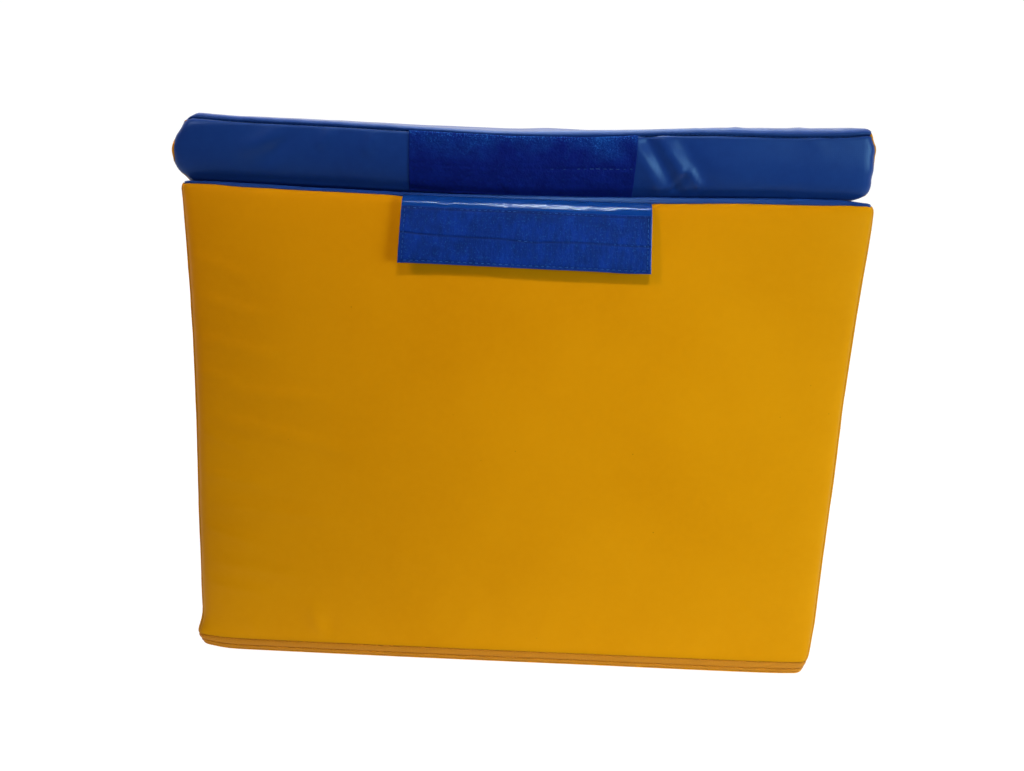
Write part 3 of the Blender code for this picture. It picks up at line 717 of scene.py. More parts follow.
thin_ramp_cover = band_panel("thin_ramp_cover", thin, q_back + thin.length[2], total - UNDER, fine * 1.6, coarse, seed=8,
                             puckers=(0.0004, 0.0004, 0.0002, 0.0002), drags=(0.0001,) * 4, dents=0.0003)


def foot_step(y, tail, sign, deep, shallow):
    """Height of a side panel's zip edge: deep where the zip runs, shallow past its end."""
    return shallow + (deep - shallow) * ease((tail - y) * sign / 0.0022 + 1.0)


thick_columns = [0.2478, 0.2486, 0.2494, 0.2500, 0.2506, 0.2512, 0.2518, 0.2526]
thin_columns = [-v + 0.23 for v in thick_columns][::-1]
sides = {}
for label, sign in (("left", -1), ("right", 1)):
    sides["thick_" + label] = side_panel(
        f"thick_{label}_side_cover", thick, sign, 0.006, 0.006,
        lambda y: foot_step(y, THICK_ZIP_END, 1, ZIP_SEAM, 0.0), thick_ramp, thick_columns,
        puckers=(0.0003, 0.0004, 0.0003, 0.0005), drags=(0.0004, 0.0005, 0.0003, 0.0005), seed=11 + sign, dents=0.0011)
    sides["thin_" + label] = side_panel(
        f"thin_{label}_side_cover", thin, sign, 0.006, 0.0055,
        thin_ramp, lambda y: TOP - foot_step(y, THIN_ZIP_END, -1, ZIP_SEAM, 0.0), thin_columns,
        puckers=(0.0004, 0.0004, 0.0005, 0.0004), drags=(0.0, 0.0005, 0.0005, 0.0003), seed=15 + sign, dents=0.0010)

pieces = []


# ------------------------------------------------------------------ foam blocks inside the covers
def spaced(n):
    """0..1 in n steps that are finer near both ends."""
    t = np.linspace(0, 1, n + 1)
    return t - np.sin(2 * np.pi * t) / (2 * np.pi) * 0.85


def foam_block(name, half, cells, inset):
    nx, ny, nz = cells
    us, vs, ws = spaced(nx), spaced(ny), spaced(nz)
    index, spots = {}, []

    def corner(i, j, k):
        if (i, j, k) not in index:
            index[i, j, k] = len(spots)
            spots.append((i, j, k))
        return index[i, j, k]

    quads = []
    for i in range(nx):
        for j in range(ny):
            quads.append([corner(i, j, 0), corner(i, j + 1, 0), corner(i + 1, j + 1, 0), corner(i + 1, j, 0)])
            quads.append([corner(i, j, nz), corner(i + 1, j, nz), corner(i + 1, j + 1, nz), corner(i, j + 1, nz)])
    for i in range(nx):
        for k in range(nz):
            quads.append([corner(i, 0, k), corner(i + 1, 0, k), corner(i + 1, 0, k + 1), corner(i, 0, k + 1)])
            quads.append([corner(i, ny, k), corner(i, ny, k + 1), corner(i + 1, ny, k + 1), corner(i + 1, ny, k)])
    for j in range(ny):
        for k in range(nz):
            quads.append([corner(0, j, k), corner(0, j, k + 1), corner(0, j + 1, k + 1), corner(0, j + 1, k)])
            quads.append([corner(nx, j, k), corner(nx, j + 1, k), corner(nx, j + 1, k + 1), corner(nx, j, k + 1)])
    spots = np.array(spots)
    x = -HW + 2 * HW * us[spots[:, 0]]
    y = -HD + 2 * HD * vs[spots[:, 1]]
    ramp = thick_ramp(y) if half is thick else thin_ramp(y)
    z = half.base_z + ws[spots[:, 2]] * (ramp - half.base_z)
    P = np.column_stack([x, y, z])
    g = half.gaps(P)
    face = np.argmin(g, axis=1)
    p, n = half.rounded(P)
    edge = np.sort(np.abs(g), axis=1)[:, 1]
    q = half.settle(p + n * half.crown(P, face)[:, None]) - n * (inset + 0.0032 * np.exp(-edge / 0.006))[:, None]
    q[:, 2] = np.maximum(q[:, 2], 0.0012)
    quads = np.array(quads)
    if half is thin:
        quads = quads[:, ::-1]
    return mesh_object(name, q, quads)


foam_thick = foam_block("thick_foam", thick, (44, 44, 36), 0.0027)
foam_thin = foam_block("thin_foam", thin, (44, 44, 16), 0.0027)


# ------------------------------------------------------------------ stitches
def thread(name, middles, along, out, length, radius, rise=None, sides=6):
    """One mesh of stitches: each is a short thread that arches over the surface and dives in at both ends."""
    ts = np.array([-1.0, -0.86, -0.55, 0.0, 0.55, 0.86, 1.0])
    lift_t = np.array([-1.5, -0.35, 0.45, 0.62, 0.45, -0.35, -1.5]) * radius if rise is None else np.array(rise) * radius
    fat = np.array([0.55, 0.85, 1.0, 1.0, 1.0, 0.85, 0.55]) * radius
    a = np.linspace(0, 2 * np.pi, sides, endpoint=False)
    middles, along, out = (np.asarray(v, float) for v in (middles, along, out))
    along = along / np.linalg.norm(along, axis=1)[:, None]
    out = out - (out * along).sum(1)[:, None] * along
    out = out / np.linalg.norm(out, axis=1)[:, None]
    side = np.cross(along, out)
    m, r, k = len(middles), len(ts), sides
    length = np.broadcast_to(np.asarray(length, float), (m,))
    v = (middles[:, None, None, :]
         + along[:, None, None, :] * (ts[None, :, None, None] * length[:, None, None, None] / 2)
         + out[:, None, None, :] * (lift_t[None, :, None, None] + (np.sin(a) * 1.0)[None, None, :, None] * fat[None, :, None, None])
         + side[:, None, None, :] * ((np.cos(a))[None, None, :, None] * fat[None, :, None, None]))
    v = v.reshape(-1, 3)
    quads, caps = [], []
    for i in range(r - 1):
        for j in range(k):
            j2 = (j + 1) % k
            quads.append([i * k + j, i * k + j2, (i + 1) * k + j2, (i + 1) * k + j])
    caps.append([j for j in range(k)][::-1])
    caps.append([(r - 1) * k + j for j in range(k)])
    quads, caps = np.array(quads), np.array(caps)
    base = (np.arange(m) * r * k)[:, None, None]
    f = (quads[None] + base).reshape(-1, 4)
    c = (caps[None] + base).reshape(-1, k)
    # the winding that faces out
    v0, v1, v2 = (v[f[0, i]] for i in range(3))
    if np.dot(np.cross(v1 - v0, v2 - v0), v0 - v[:r * k].mean(0)) < 0:
        f, c = f[:, ::-1], c[:, ::-1]
    return mesh_object(name, v, [f, c])


def stitch_row(a, b, pitch, seed=0, shake=0.04):
    """Middles of stitches between two distances."""
    n = max(1, int(round((b - a) / pitch)))
    t = a + (np.arange(n) + 0.5) * (b - a) / n
    rng = np.random.default_rng(seed)
    return t + rng.uniform(-shake, shake, n) * pitch


def on_half(half, P, face, out_by):
    """Sharp-form points laid on the settled surface, with their normals."""
    p, n = half.rounded(P)
    h = half.crown(P, face) + out_by
    return half.settle(p + n * np.reshape(h, (-1, 1))), n


def along_of(points):
    d = np.gradient(points, axis=0)
    return d


# ------------------------------------------------------------------ zips
def zip_plan(end, front, step=0.0040):
    """A zip's way in plan: along the right side, round the corner, across, round and back along the left side.
    Gives points, outward directions, the sharp-form points for the crown, whether on a straight, and the distance."""
    R = ROUND
    pts, out, sharp, crowned = [], [], [], []
    n = int(abs(front * (HD - R) - end) / step)
    for y in np.linspace(end, front * (HD - R), n):
        pts.append((HW, y)), out.append((1, 0)), sharp.append((HW, y)), crowned.append(RIGHT)
    for a in np.linspace(0, math.pi / 2, 9)[1:-1]:
        o = (math.cos(a), front * math.sin(a))
        pts.append((HW - R + R * o[0], front * (HD - R) + R * o[1])), out.append(o), sharp.append((HW, front * HD)), crowned.append(-1)
    n = int(2 * (HW - R) / step)
    for x in np.linspace(HW - R, -(HW - R), n):
        pts.append((x, front * HD)), out.append((0, front)), sharp.append((x, front * HD)), crowned.append(FRONT if front < 0 else BACK)
    for a in np.linspace(math.pi / 2, 0, 9)[1:-1]:
        o = (-math.cos(a), front * math.sin(a))
        pts.append((-(HW - R) + R * o[0], front * (HD - R) + R * o[1])), out.append(o), sharp.append((-HW, front * HD)), crowned.append(-1)
    n = int(abs(front * (HD - R) - end) / step)
    for y in np.linspace(front * (HD - R), end, n):
        pts.append((-HW, y)), out.append((-1, 0)), sharp.append((-HW, y)), crowned.append(LEFT)
    pts, out, sharp = (np.array(v, float) for v in (pts, out, sharp))
    s = np.concatenate([[0], np.cumsum(np.linalg.norm(np.diff(pts, axis=0), axis=1))])
    return pts, out, sharp, np.array(crowned), s


def zip_surface(half, plan, o, z):
    """Where offset o out of the cover and height z above the base lie along a zip's plan."""
    pts, out, sharp, face, s = plan
    zz = np.full(len(pts), half.base_z) + half.up * z
    P = np.column_stack([sharp, zz])
    c = np.zeros(len(pts))
    on = face >= 0
    if on.any():
        c[on] = half.crown(P[on], face[on])
    flat = pts + out * (o + c)[:, None]
    return half.settle(np.column_stack([flat, zz]))


def zip_band(name, half, plan, section, wave=0.0, seed=0):
    """A strip swept along the zip with a closed section of (out, up) points."""
    rows_ = []
    s = plan[4]
    for k, (o, z) in enumerate(section):
        w = wave * noise2(s, 0 * s, 0.022, seed=seed) if wave else 0.0
        rows_.append(zip_surface(half, plan, np.full(len(s), o) + w, z))
    v = np.stack(rows_, 1)                      # path x section
    n, k = v.shape[:2]
    verts = v.reshape(-1, 3)
    i, j = np.meshgrid(np.arange(n - 1), np.arange(k), indexing="ij")
    j2 = (j + 1) % k
    f = np.stack([i * k + j, i * k + j2, (i + 1) * k + j2, (i + 1) * k + j], -1).reshape(-1, 4)
    caps = np.array([np.arange(k)[::-1], (n - 1) * k + np.arange(k)])
    per = np.concatenate([[0], np.cumsum(np.linalg.norm(np.diff(np.array(section), axis=0), axis=1))])
    uv = np.column_stack([np.repeat(s, k), np.tile(per, n)])
    ob = mesh_object(name, verts, [f, caps], uv)
    return facing_out(ob)


def facing_out(ob):
    """Turns a closed mesh's faces outward."""
    me = ob.data
    co = np.empty(len(me.vertices) * 3)
    me.vertices.foreach_get("co", co)
    co = co.reshape(-1, 3)
    me.calc_loop_triangles()
    tri = np.empty(len(me.loop_triangles) * 3, np.int32)
    me.loop_triangles.foreach_get("vertices", tri)
    a, b, c = (co[tri.reshape(-1, 3)[:, i]] for i in range(3))
    if np.einsum("ij,ij->", a, np.cross(b, c)) < 0:
        me.flip_normals()
    return ob


def closed_section(outer, thick_by):
    """The outer line of a strip, (out, up) from its top down, closed with a line that far inside."""
    outer = np.array(outer, float)
    mid = outer[:, 1].mean()
    inner = outer.copy()
    inner[:, 0] -= thick_by
    inner[:, 1] = mid + (outer[:, 1] - mid) * 0.94
    return [tuple(p) for p in np.concatenate([outer, inner[::-1]])]


MM = 0.001
UPPER = [(-1.5, 12.5), (-1.0, 12.35), (-0.45, 12.0), (-0.02, 11.5), (0.30, 10.8), (0.52, 9.9), (0.62, 8.9), (0.62, 7.9), (0.50, 7.1),
         (0.24, 6.4), (-0.10, 5.95), (-0.50, 5.72), (-1.1, 5.66)]
LOWER = [(-1.1, 5.42), (-0.50, 5.34), (-0.05, 5.05), (0.28, 4.55), (0.44, 3.90), (0.46, 3.40), (0.34, 2.85), (0.06, 2.30), (-0.35, 1.95),
         (-0.9, 1.82), (-1.5, 1.78)]
UPPER = [(o * MM, z * MM) for o, z in UPPER]
LOWER = [(o * MM, z * MM) for o, z in LOWER]
zips = {}
for prefix, half, end, front, body in (("thick", thick, THICK_ZIP_END, -1, "thick_half"), ("thin", thin, THIN_ZIP_END, 1, "thin_half")):
    plan = zip_plan(end, front)
    zips[prefix] = plan
    up_band = zip_band(f"{prefix}_zip_upper_tape_cloth", half, plan, closed_section(UPPER, 0.0007), 0.00004, 31)
    low_band = zip_band(f"{prefix}_zip_lower_tape_cloth", half, plan, closed_section(LOWER, 0.0007), 0.00004, 37)
    # the two coils: a core with a bead for each element, in the slit between the tapes
    dense = zip_plan(end, front, 0.0016)
    coils = []
    for row, (zc, shift) in enumerate(((0.00530, 0.0), (0.00572, 0.5))):
        s = dense[4]
        mids = stitch_row(s[0] + 0.003, s[-1] - 0.003, 0.0016, 5 + row, 0.0)
        here = [zip_surface(half, dense, -0.00115 + 0 * s, zc - 0.0003), zip_surface(half, dense, -0.00115 + 0 * s, zc + 0.0003)]
        a = np.column_stack([np.interp(mids, s, here[0][:, i]) for i in range(3)])
        b = np.column_stack([np.interp(mids, s, here[1][:, i]) for i in range(3)])
        outw = np.column_stack([np.interp(mids, s, dense[1][:, 0]), np.interp(mids, s, dense[1][:, 1]), 0 * mids])
        d = along_of(zip_surface(half, dense, -0.001 + 0 * s, zc))
        tang = np.column_stack([np.interp(mids, s, d[:, i]) for i in range(3)])
        tang /= np.linalg.norm(tang, axis=1)[:, None]
        up_dir = (b - a) / np.linalg.norm(b - a, axis=1)[:, None]
        lean = up_dir + tang * (0.55 if row else -0.55)
        coils.append(thread(f"{prefix}_zip_{'upper' if row else 'lower'}_coil_row", (a + b) / 2, lean, outw, 0.0016, 0.00036, sides=5))
    # the seam that holds the upper tape to the cover
    s = plan[4]
    line = zip_surface(half, plan, -0.00052 + 0 * s, 0.01245)
    mids = stitch_row(s[0] + 0.004, s[-1] - 0.004, 0.0038, 8, 0.05)
    at = np.column_stack([np.interp(mids, s, line[:, i]) for i in range(3)])
    d = along_of(line)
    tang = np.column_stack([np.interp(mids, s, d[:, i]) for i in range(3)])
    outw = np.column_stack([np.interp(mids, s, plan[1][:, 0]), np.interp(mids, s, plan[1][:, 1]), 0 * mids])
    seam_thread = thread(f"{prefix}_zip_seam_thread", at, tang, outw, 0.0027, 0.00030)
    for ob, key, nodes, slot in (
        (up_band, "tape", [f"{prefix}_zip_upper_tape"], "yellow_zip_tape"), (low_band, "tape", [f"{prefix}_zip_lower_tape"], "yellow_zip_tape"),
        (coils[0], "coil", [f"{prefix}_zip_lower_coil"], "yellow_coil"), (coils[1], "coil", [f"{prefix}_zip_upper_coil"], "yellow_coil"),
        (seam_thread, "yellow_thread", [], "yellow_zip_tape"),
    ):
        pieces.append((ob, key, body, nodes, slot))
pieces.append((foam_thick, "foam", "thick_half", ["thick_foam_core"], "foam"))
pieces.append((foam_thin, "foam", "thin_half", ["thin_foam_core"], "foam"))


# ------------------------------------------------------------------ base of the thick half: it lies flat, with a rolled edge all round
def plan_ring(step=0.0085, arc=8):
    """Points and outward directions round the block's plan, with its rounded corners."""
    ring, out = [], []
    for k, (sx, sy) in enumerate(((1, -1), (1, 1), (-1, 1), (-1, -1))):
        centre = np.array([sx * (HW - ROUND), sy * (HD - ROUND)])
        for a in np.linspace((k - 1) * math.pi / 2, k * math.pi / 2, arc):
            o = np.array([math.cos(a), math.sin(a)])
            ring.append(centre + ROUND * o)
            out.append(o)
        tx, ty = ((1, 1), (-1, 1), (-1, -1), (1, -1))[k]
        nxt = np.array([tx * (HW - ROUND), ty * (HD - ROUND)]) + ROUND * out[-1]
        n = int(np.linalg.norm(nxt - ring[-1]) / step)
        here, o = ring[-1], out[-1]
        for t in np.linspace(0, 1, n + 1)[1:-1]:
            ring.append(here * (1 - t) + nxt * t)
            out.append(o)
    return np.array(ring), np.array(out)


def base_cover():
    ring, out = plan_ring()
    lip = [(-1.90, 1.62), (-0.95, 1.48), (-0.38, 1.18), (-0.14, 0.78), (-0.24, 0.40), (-0.70, 0.13), (-1.7, 0.03), (-4.0, 0.02), (-9.0, 0.02)]
    P = [np.column_stack([ring + out * o * MM, np.full(len(ring), z * MM)]) for o, z in lip]
    last = P[-1]
    for t in (0.06, 0.14, 0.25, 0.40, 0.58, 0.78, 0.995):
        P.append(np.column_stack([last[:, :2] * (1 - t), last[:, 2]]))
    v = np.stack(P, 1)
    flat = v[..., :2] + out[:, None, :] * (v[..., 2:] * 1.2)
    n, k = v.shape[:2]
    outer = settle_thick(v.reshape(-1, 3))
    outer[:, 2] = np.maximum(outer[:, 2], 0.00002)
    f = grid_faces(n, k, wrap_u=True)
    nrm = vertex_normals(outer, f)
    if nrm[:, 2].mean() > 0:
        f, nrm = f[:, ::-1], -nrm
    inner = outer - nrm * VINYL
    m = len(outer)
    idx = np.arange(n * k).reshape(n, k)
    a, b = idx[:, 0], np.roll(idx[:, 0], -1)
    rim = np.column_stack([a, b, b + m, a + m])
    cap = idx[:, -1]
    faces = [f, f[:, ::-1] + m, rim, cap[None, :], cap[None, ::-1] + m]
    ob = mesh_object("thick_base_cover", np.concatenate([outer, inner]), faces, np.concatenate([flat.reshape(-1, 2)] * 2),
                     marks={"seam": np.zeros(2 * m)})
    tidy(ob)
    return ob


def tidy(ob):
    """Makes a closed mesh's faces agree and face outward."""
    bm = bmesh.new()
    bm.from_mesh(ob.data)
    bmesh.ops.recalc_face_normals(bm, faces=bm.faces)
    bm.to_mesh(ob.data)
    bm.free()
    return ob


pieces.append((base_cover(), "yellow", "thick_half", ["thick_base_panel"], "yellow_vinyl"))


# ------------------------------------------------------------------ the nose's loop patch
def patch():
    x0, x1, q0, q1 = -0.0985, 0.0978, -0.0040, thin.length[0] - SEAM_BELOW - 0.0007
    nx, nq = 185, 48
    edge_rows = np.array([0, 0.00006, 0.0003, 0.0007, 0.0013])
    xs = np.concatenate([x0 + edge_rows, np.linspace(x0 + 0.0023, x1 - 0.0023, nx), x1 - edge_rows[::-1]])
    qs = np.concatenate([q0 + edge_rows, np.linspace(q0 + 0.0023, q1 - 0.0023, nq), q1 - edge_rows[::-1]])
    X, Q = (g.ravel() for g in np.meshgrid(xs, qs, indexing="ij"))
    yz, face = on_loop(thin, X, Q)
    P = np.column_stack([X, yz])
    h, _ = panel_height(thin, P, face, (X + HW, HW - X, Q, thin.length[0] - SEAM_BELOW - Q), (Q, Q, X, X), **NOSE)
    p, n = thin.rounded(P)
    d = np.minimum.reduce([X - x0, x1 - X, Q - q0, q1 - Q])
    edge = np.sqrt(np.maximum(1 - (1 - np.clip(d / 0.0013, 0, 1)) ** 2, 0))
    pile = 0.0013 * edge + 0.00030 * edge * fractal(P, 0.0032, 71, 3, 0.6) + 0.00035 * edge * noise(P, 0.013, 73)
    # the row of stitches along the middle draws the pile down
    line = 0.0216 + 0.0006 * noise2(X, 0 * X, 0.03, seed=75)
    pile -= 0.0007 * edge * np.exp(-(((Q - line) / 0.0010) ** 2)) * (0.35 + 0.65 * ease((X + 0.02) / 0.08))
    outer = thin.settle(p + n * (h + 0.00045 + np.maximum(pile, 0))[:, None])
    under = thin.settle(p + n * (h + 0.00012)[:, None])
    nu, nv = len(xs), len(qs)
    f = grid_faces(nu, nv)
    nn = vertex_normals(outer, f)
    turn = (nn * n).sum() < 0
    f = f[:, ::-1] if turn else f
    m = len(outer)
    idx = np.arange(nu * nv).reshape(nu, nv)
    ring = np.concatenate([idx[:-1, 0], idx[-1, :-1], idx[:0:-1, -1], idx[0, :0:-1]])
    nxt = np.roll(ring, -1)
    rim = np.column_stack([nxt, ring, ring + m, nxt + m])
    rim = rim[:, ::-1] if turn else rim
    # the mark stored here runs from 0 at the foot of the patch to 1 at its top; the pile's look paints sheen towards
    # the top with it
    ob = mesh_object("loop_patch_pile", np.concatenate([outer, under]), [f, f[:, ::-1] + m, rim],
                     np.concatenate([np.column_stack([X, Q])] * 2), marks={"nap": np.tile(Q / q1, 2)})
    # stitches of the middle row, for the most part sunk in the pile
    mids = stitch_row(x0 + 0.003, x1 - 0.001, 0.0056, 3, 0.06)
    sq = 0.0216 + 0.0006 * noise2(mids, 0 * mids, 0.03, seed=75)
    yz, face = on_loop(thin, mids, sq)
    PP = np.column_stack([mids, yz])
    hh, _ = panel_height(thin, PP, face, (mids + HW, HW - mids, sq, thin.length[0] - SEAM_BELOW - sq), (sq, sq, mids, mids), **NOSE)
    pp, n2 = thin.rounded(PP)
    raised = 0.00080 + 0.00032 * ease((mids - 0.052) / 0.025)
    at = thin.settle(pp + n2 * (hh + raised)[:, None])
    mid_thread = thread("loop_patch_thread", at, np.tile([1.0, 0, 0.01], (len(mids), 1)), n2, 0.0037, 0.00026)
    return ob, mid_thread


loop_pile, loop_thread = patch()
pieces.append((loop_pile, "loop", "thin_half", ["loop_patch"], "blue_loop"))
pieces.append((loop_thread, "pale_thread", "thin_half", [], "blue_loop"))


# ------------------------------------------------------------------ stitches seen in the panels' seams
def seam_stitches(name, half, q, x0, x1, pitch, seed, depth=0.0005, length=0.68, radius=0.00026, kw=None):
    """Threads in the slit between two panels, along the width of a half."""
    mids = stitch_row(x0, x1, pitch, seed, 0.05)
    Q = np.full(len(mids), q)
    yz, face = on_loop(half, mids, Q)
    deep = depth(mids) if callable(depth) else depth
    at, n = on_half(half, np.column_stack([mids, yz]), face, -deep)
    ahead, _ = on_half(half, np.column_stack([mids + 0.002, on_loop(half, mids + 0.002, Q)[0]]), face, -deep)
    return thread(name, at, ahead - at, n, pitch * length, radius)


nose_thread = seam_stitches("nose_seam_thread", thin, thin.length[0] - SEAM_BELOW, -0.285, 0.285, 0.0042, 12,
                           lambda x: 0.0019 - 0.0009 * ease((x - 0.12) / 0.02) * ease((0.215 - x) / 0.02))
tall_thread = seam_stitches("tall_end_seam_thread", thick, front_len - SEAM_BELOW, -0.285, 0.285, 0.0042, 13, 0.00105)
pieces.append((nose_thread, "blue_thread", "thin_half", [], "blue_vinyl"))
pieces.append((tall_thread, "blue_thread", "thick_half", [], "blue_vinyl"))


# ------------------------------------------------------------------ the flap
FLAP_LINE = [(-0.2942, 0.4500), (-0.2962, 0.4506), (-0.2982, 0.4508), (-0.3004, 0.4506), (-0.3028, 0.4498), (-0.3050, 0.4482), (-0.3067, 0.4458),
             (-0.3077, 0.4430), (-0.3084, 0.4398), (-0.3091, 0.4340), (-0.3098, 0.4262), (-0.3104, 0.4176), (-0.3109, 0.4084), (-0.3112, 0.4000),
             (-0.3113, 0.3932), (-0.3112, 0.3908)]
line_yz = np.array(FLAP_LINE)
line_s = np.concatenate([[0], np.cumsum(np.linalg.norm(np.diff(line_yz, axis=0), axis=1))])
FLAP_LENGTH = line_s[-1]
TAPE_TOP_S = float(np.interp(-0.4428, -line_yz[:, 1][4:], line_s[4:]))


def flap_at(x, s, out_by=0.0):
    """A point of the flap: x across it, s down it from inside the seam, out_by off its middle surface, with the normal."""
    y = through(s, list(zip(line_s, line_yz[:, 0])))
    z = through(s, list(zip(line_s, line_yz[:, 1])))
    e = 0.0002
    dy = through(s + e, list(zip(line_s, line_yz[:, 0]))) - through(s - e, list(zip(line_s, line_yz[:, 0])))
    dz = through(s + e, list(zip(line_s, line_yz[:, 1]))) - through(s - e, list(zip(line_s, line_yz[:, 1])))
    d = np.hypot(dy, dz)
    ny, nz = dz / d, -dy / d
    down = np.clip((s - 0.010) / (FLAP_LENGTH - 0.010), 0, 1)
    wide = 0.1082 + 0.0030 * down
    X = x * wide / 0.1076 + 0.0014
    # how it hangs: it waves a little, and its free corners lift
    wave = down * (0.0007 * np.sin(x * 38.0 + 0.6) + 0.0005 * noise2(x, s, 0.045, seed=41)) + down**2 * 0.0011 * (np.abs(x) / 0.1076) ** 4
    sag = through(x, [(-0.1076, -0.0026), (-0.05, -0.0020), (0.02, -0.0014), (0.06, -0.0010), (0.09, -0.0003), (0.1076, -0.0007)]) * down
    tilt = 0.0012 * (x / 0.1076) * (1 - 0.6 * down) + 0.0002 * np.cos(x * 50) * (1 - down)
    off = out_by + wave
    pos = np.column_stack([X, y + ny * off, z + nz * off - sag + tilt * ease(s / 0.008)])
    return pos, np.column_stack([0 * x, ny, nz])


def strip_shell(name, xs, ss, top, under, slide=None, marks=None):
    """A closed shell over a grid of the flap: top and under give how far its faces are off the flap's middle."""
    X, S = (g.ravel() for g in np.meshgrid(xs, ss, indexing="ij"))
    at = S if slide is None else S + slide(X, S)
    outer, n = flap_at(X, at, top(X, S))
    inner, _ = flap_at(X, at, under(X, S))
    nu, nv = len(xs), len(ss)
    f = grid_faces(nu, nv)
    nn = vertex_normals(outer, f)
    turn = (nn * n).sum() < 0
    f = f[:, ::-1] if turn else f
    m = len(outer)
    idx = np.arange(nu * nv).reshape(nu, nv)
    ring = np.concatenate([idx[:-1, 0], idx[-1, :-1], idx[:0:-1, -1], idx[0, :0:-1]])
    nxt = np.roll(ring, -1)
    rim = np.column_stack([nxt, ring, ring + m, nxt + m])
    rim = rim[:, ::-1] if turn else rim
    extra = {k: np.tile(v(X, S), 2) for k, v in (marks or {}).items()}
    return mesh_object(name, np.concatenate([outer, inner]), [f, f[:, ::-1] + m, rim], np.concatenate([np.column_stack([X, S])] * 2), marks=extra)


def edged(a, b, step, near=(0, 0.00025, 0.0006, 0.0011)):
    near = np.array(near)
    n = max(1, int(round((b - a - 2 * near[-1]) / step)))
    return np.concatenate([a + near[:-1], np.linspace(a + near[-1], b - near[-1], n + 1), b - near[:-1][::-1]])


def flap_pieces():
    hw = 0.1076
    ss = np.concatenate([np.linspace(0, TAPE_TOP_S + 0.004, 34), np.linspace(TAPE_TOP_S + 0.006, FLAP_LENGTH - 0.002, 26), [FLAP_LENGTH - 0.0008, FLAP_LENGTH]])

    def soft(x, s):
        return np.clip(np.minimum.reduce([hw - np.abs(x), FLAP_LENGTH - s, 0 * s + 1]) / 0.0006, 0, 1) ** 0.5

    def ripple(x, s):
        on = np.exp(-(((s - 0.0165) / 0.0055) ** 2))
        return on * (0.00030 * noise2(x, s, 0.012, 0.006, seed=44) + 0.00022 * noise2(x, s, 0.0042, 0.008, seed=45))

    cover = strip_shell("flap_cover", edged(-hw, hw, 0.0019), ss, lambda x, s: 0.00008 + 0.00030 * soft(x, s) + ripple(x, s),
                        lambda x, s: 0.00000 - 0.00030 * soft(x, s) + ripple(x, s), marks={"seam": lambda x, s: 0 * x})
    t0, t1 = TAPE_TOP_S, FLAP_LENGTH - 0.0009
    th = hw - 0.0009
    mid = t0 + 0.0243

    def mid_of(x):
        return mid + through(x, [(-0.1065, -0.0004), (-0.085, 0.0008), (-0.050, 0.0014), (-0.022, 0.0019), (-0.003, 0.0032), (0.006, 0.0037),
                                 (0.026, 0.0026), (0.075, 0.0023), (0.1065, 0.0027)])

    def slide(x, s):
        return 0.0022 * np.clip((x + th) / (2 * th), 0, 1) * (1 - np.clip((s - t0) / (t1 - t0), 0, 1))

    def hooks(x, s):
        d = np.minimum.reduce([th - np.abs(x), s - t0, t1 - s])
        soft_edge = np.sqrt(np.maximum(1 - (1 - np.clip(d / 0.0011, 0, 1)) ** 2, 0))
        p = np.column_stack([x, s, 0 * x])
        body = 0.00050 + 0.00042 * soft_edge
        body += soft_edge * (0.00007 * np.sin(2 * np.pi * (x + 0.0006 * noise2(x, s, 0.02, seed=51)) / 0.0043) + 0.00010 * noise(p, 0.0022, 53)
                             + 0.00012 * noise(p, 0.009, 54))
        groove = np.exp(-(((s - mid_of(x)) / 0.00055) ** 2))
        row_top = np.exp(-(((s - t0 - 0.0016) / 0.0008) ** 2))
        row_low = np.exp(-(((s - t1 + 0.0019) / 0.0008) ** 2))
        row_side = np.exp(-(((np.abs(x) - th + 0.0024) / 0.0008) ** 2))
        return body - soft_edge * (0.00060 * groove + 0.00030 * np.maximum.reduce([row_top, row_low, row_side]))

    xs = np.concatenate([edged(-th, th, 0.00115)])
    sd = np.sort(np.concatenate([edged(t0, t1, 0.00115), [mid - 0.0005, mid + 0.0005]]))
    # the row mark is highest along the stitch rows; the hook tape's look paints shade along them
    tape = strip_shell("flap_hooks", xs, sd, hooks, lambda x, s: 0 * x + 0.00044, slide, marks={"row": lambda x, s: np.maximum.reduce([
        np.exp(-(((s - mid_of(x) - 0.0002) / 0.0008) ** 2)), 0.8 * np.exp(-(((s - t0 - 0.0019) / 0.0009) ** 2)),
        0.45 * np.exp(-(((s - t1 + 0.0022) / 0.0009) ** 2)), 0.45 * np.exp(-(((np.abs(x) - th + 0.0027) / 0.0009) ** 2))])})
    rows = []

    def row(a, b, fixed, across, pitch, seed, sunk=0.0):
        mids = stitch_row(a, b, pitch, seed, 0.05)
        deep = 0.00006 - sunk * ease((noise2(mids, 0 * mids, 0.016, seed=seed) + 0.25) / 0.3)
        if across:
            x, s = mids, np.full(len(mids), fixed) if not callable(fixed) else fixed(mids)
            on = s if not callable(fixed) else fixed(x + 0.001)
            at, n = flap_at(x, s + slide(x, s), hooks(x, s) + deep)
            ahead, _ = flap_at(x + 0.001, on + slide(x + 0.001, on), hooks(x, s) + deep)
        else:
            x, s = np.full(len(mids), fixed), mids
            at, n = flap_at(x, s + slide(x, s), hooks(x, s) + deep)
            ahead, _ = flap_at(x, s + 0.001 + slide(x, s), hooks(x, s) + deep)
        rows.append((at, ahead - at, n))

    row(-th + 0.003, th - 0.003, t0 + 0.0016, True, 0.0050, 61, 0.00035)
    row(-th + 0.003, th - 0.003, mid_of, True, 0.0050, 62, 0.00055)
    row(-th + 0.003, th - 0.003, t1 - 0.0019, True, 0.0050, 63)
    row(t0 + 0.002, t1 - 0.002, -th + 0.0024, False, 0.0046, 64)
    row(t0 + 0.002, t1 - 0.002, th - 0.0024, False, 0.0046, 65)
    at, al, n = (np.concatenate([r[k] for r in rows]) for k in range(3))
    stitches_ob = thread("flap_thread", at, al, n, 0.0032, 0.00027)
    return cover, tape, stitches_ob


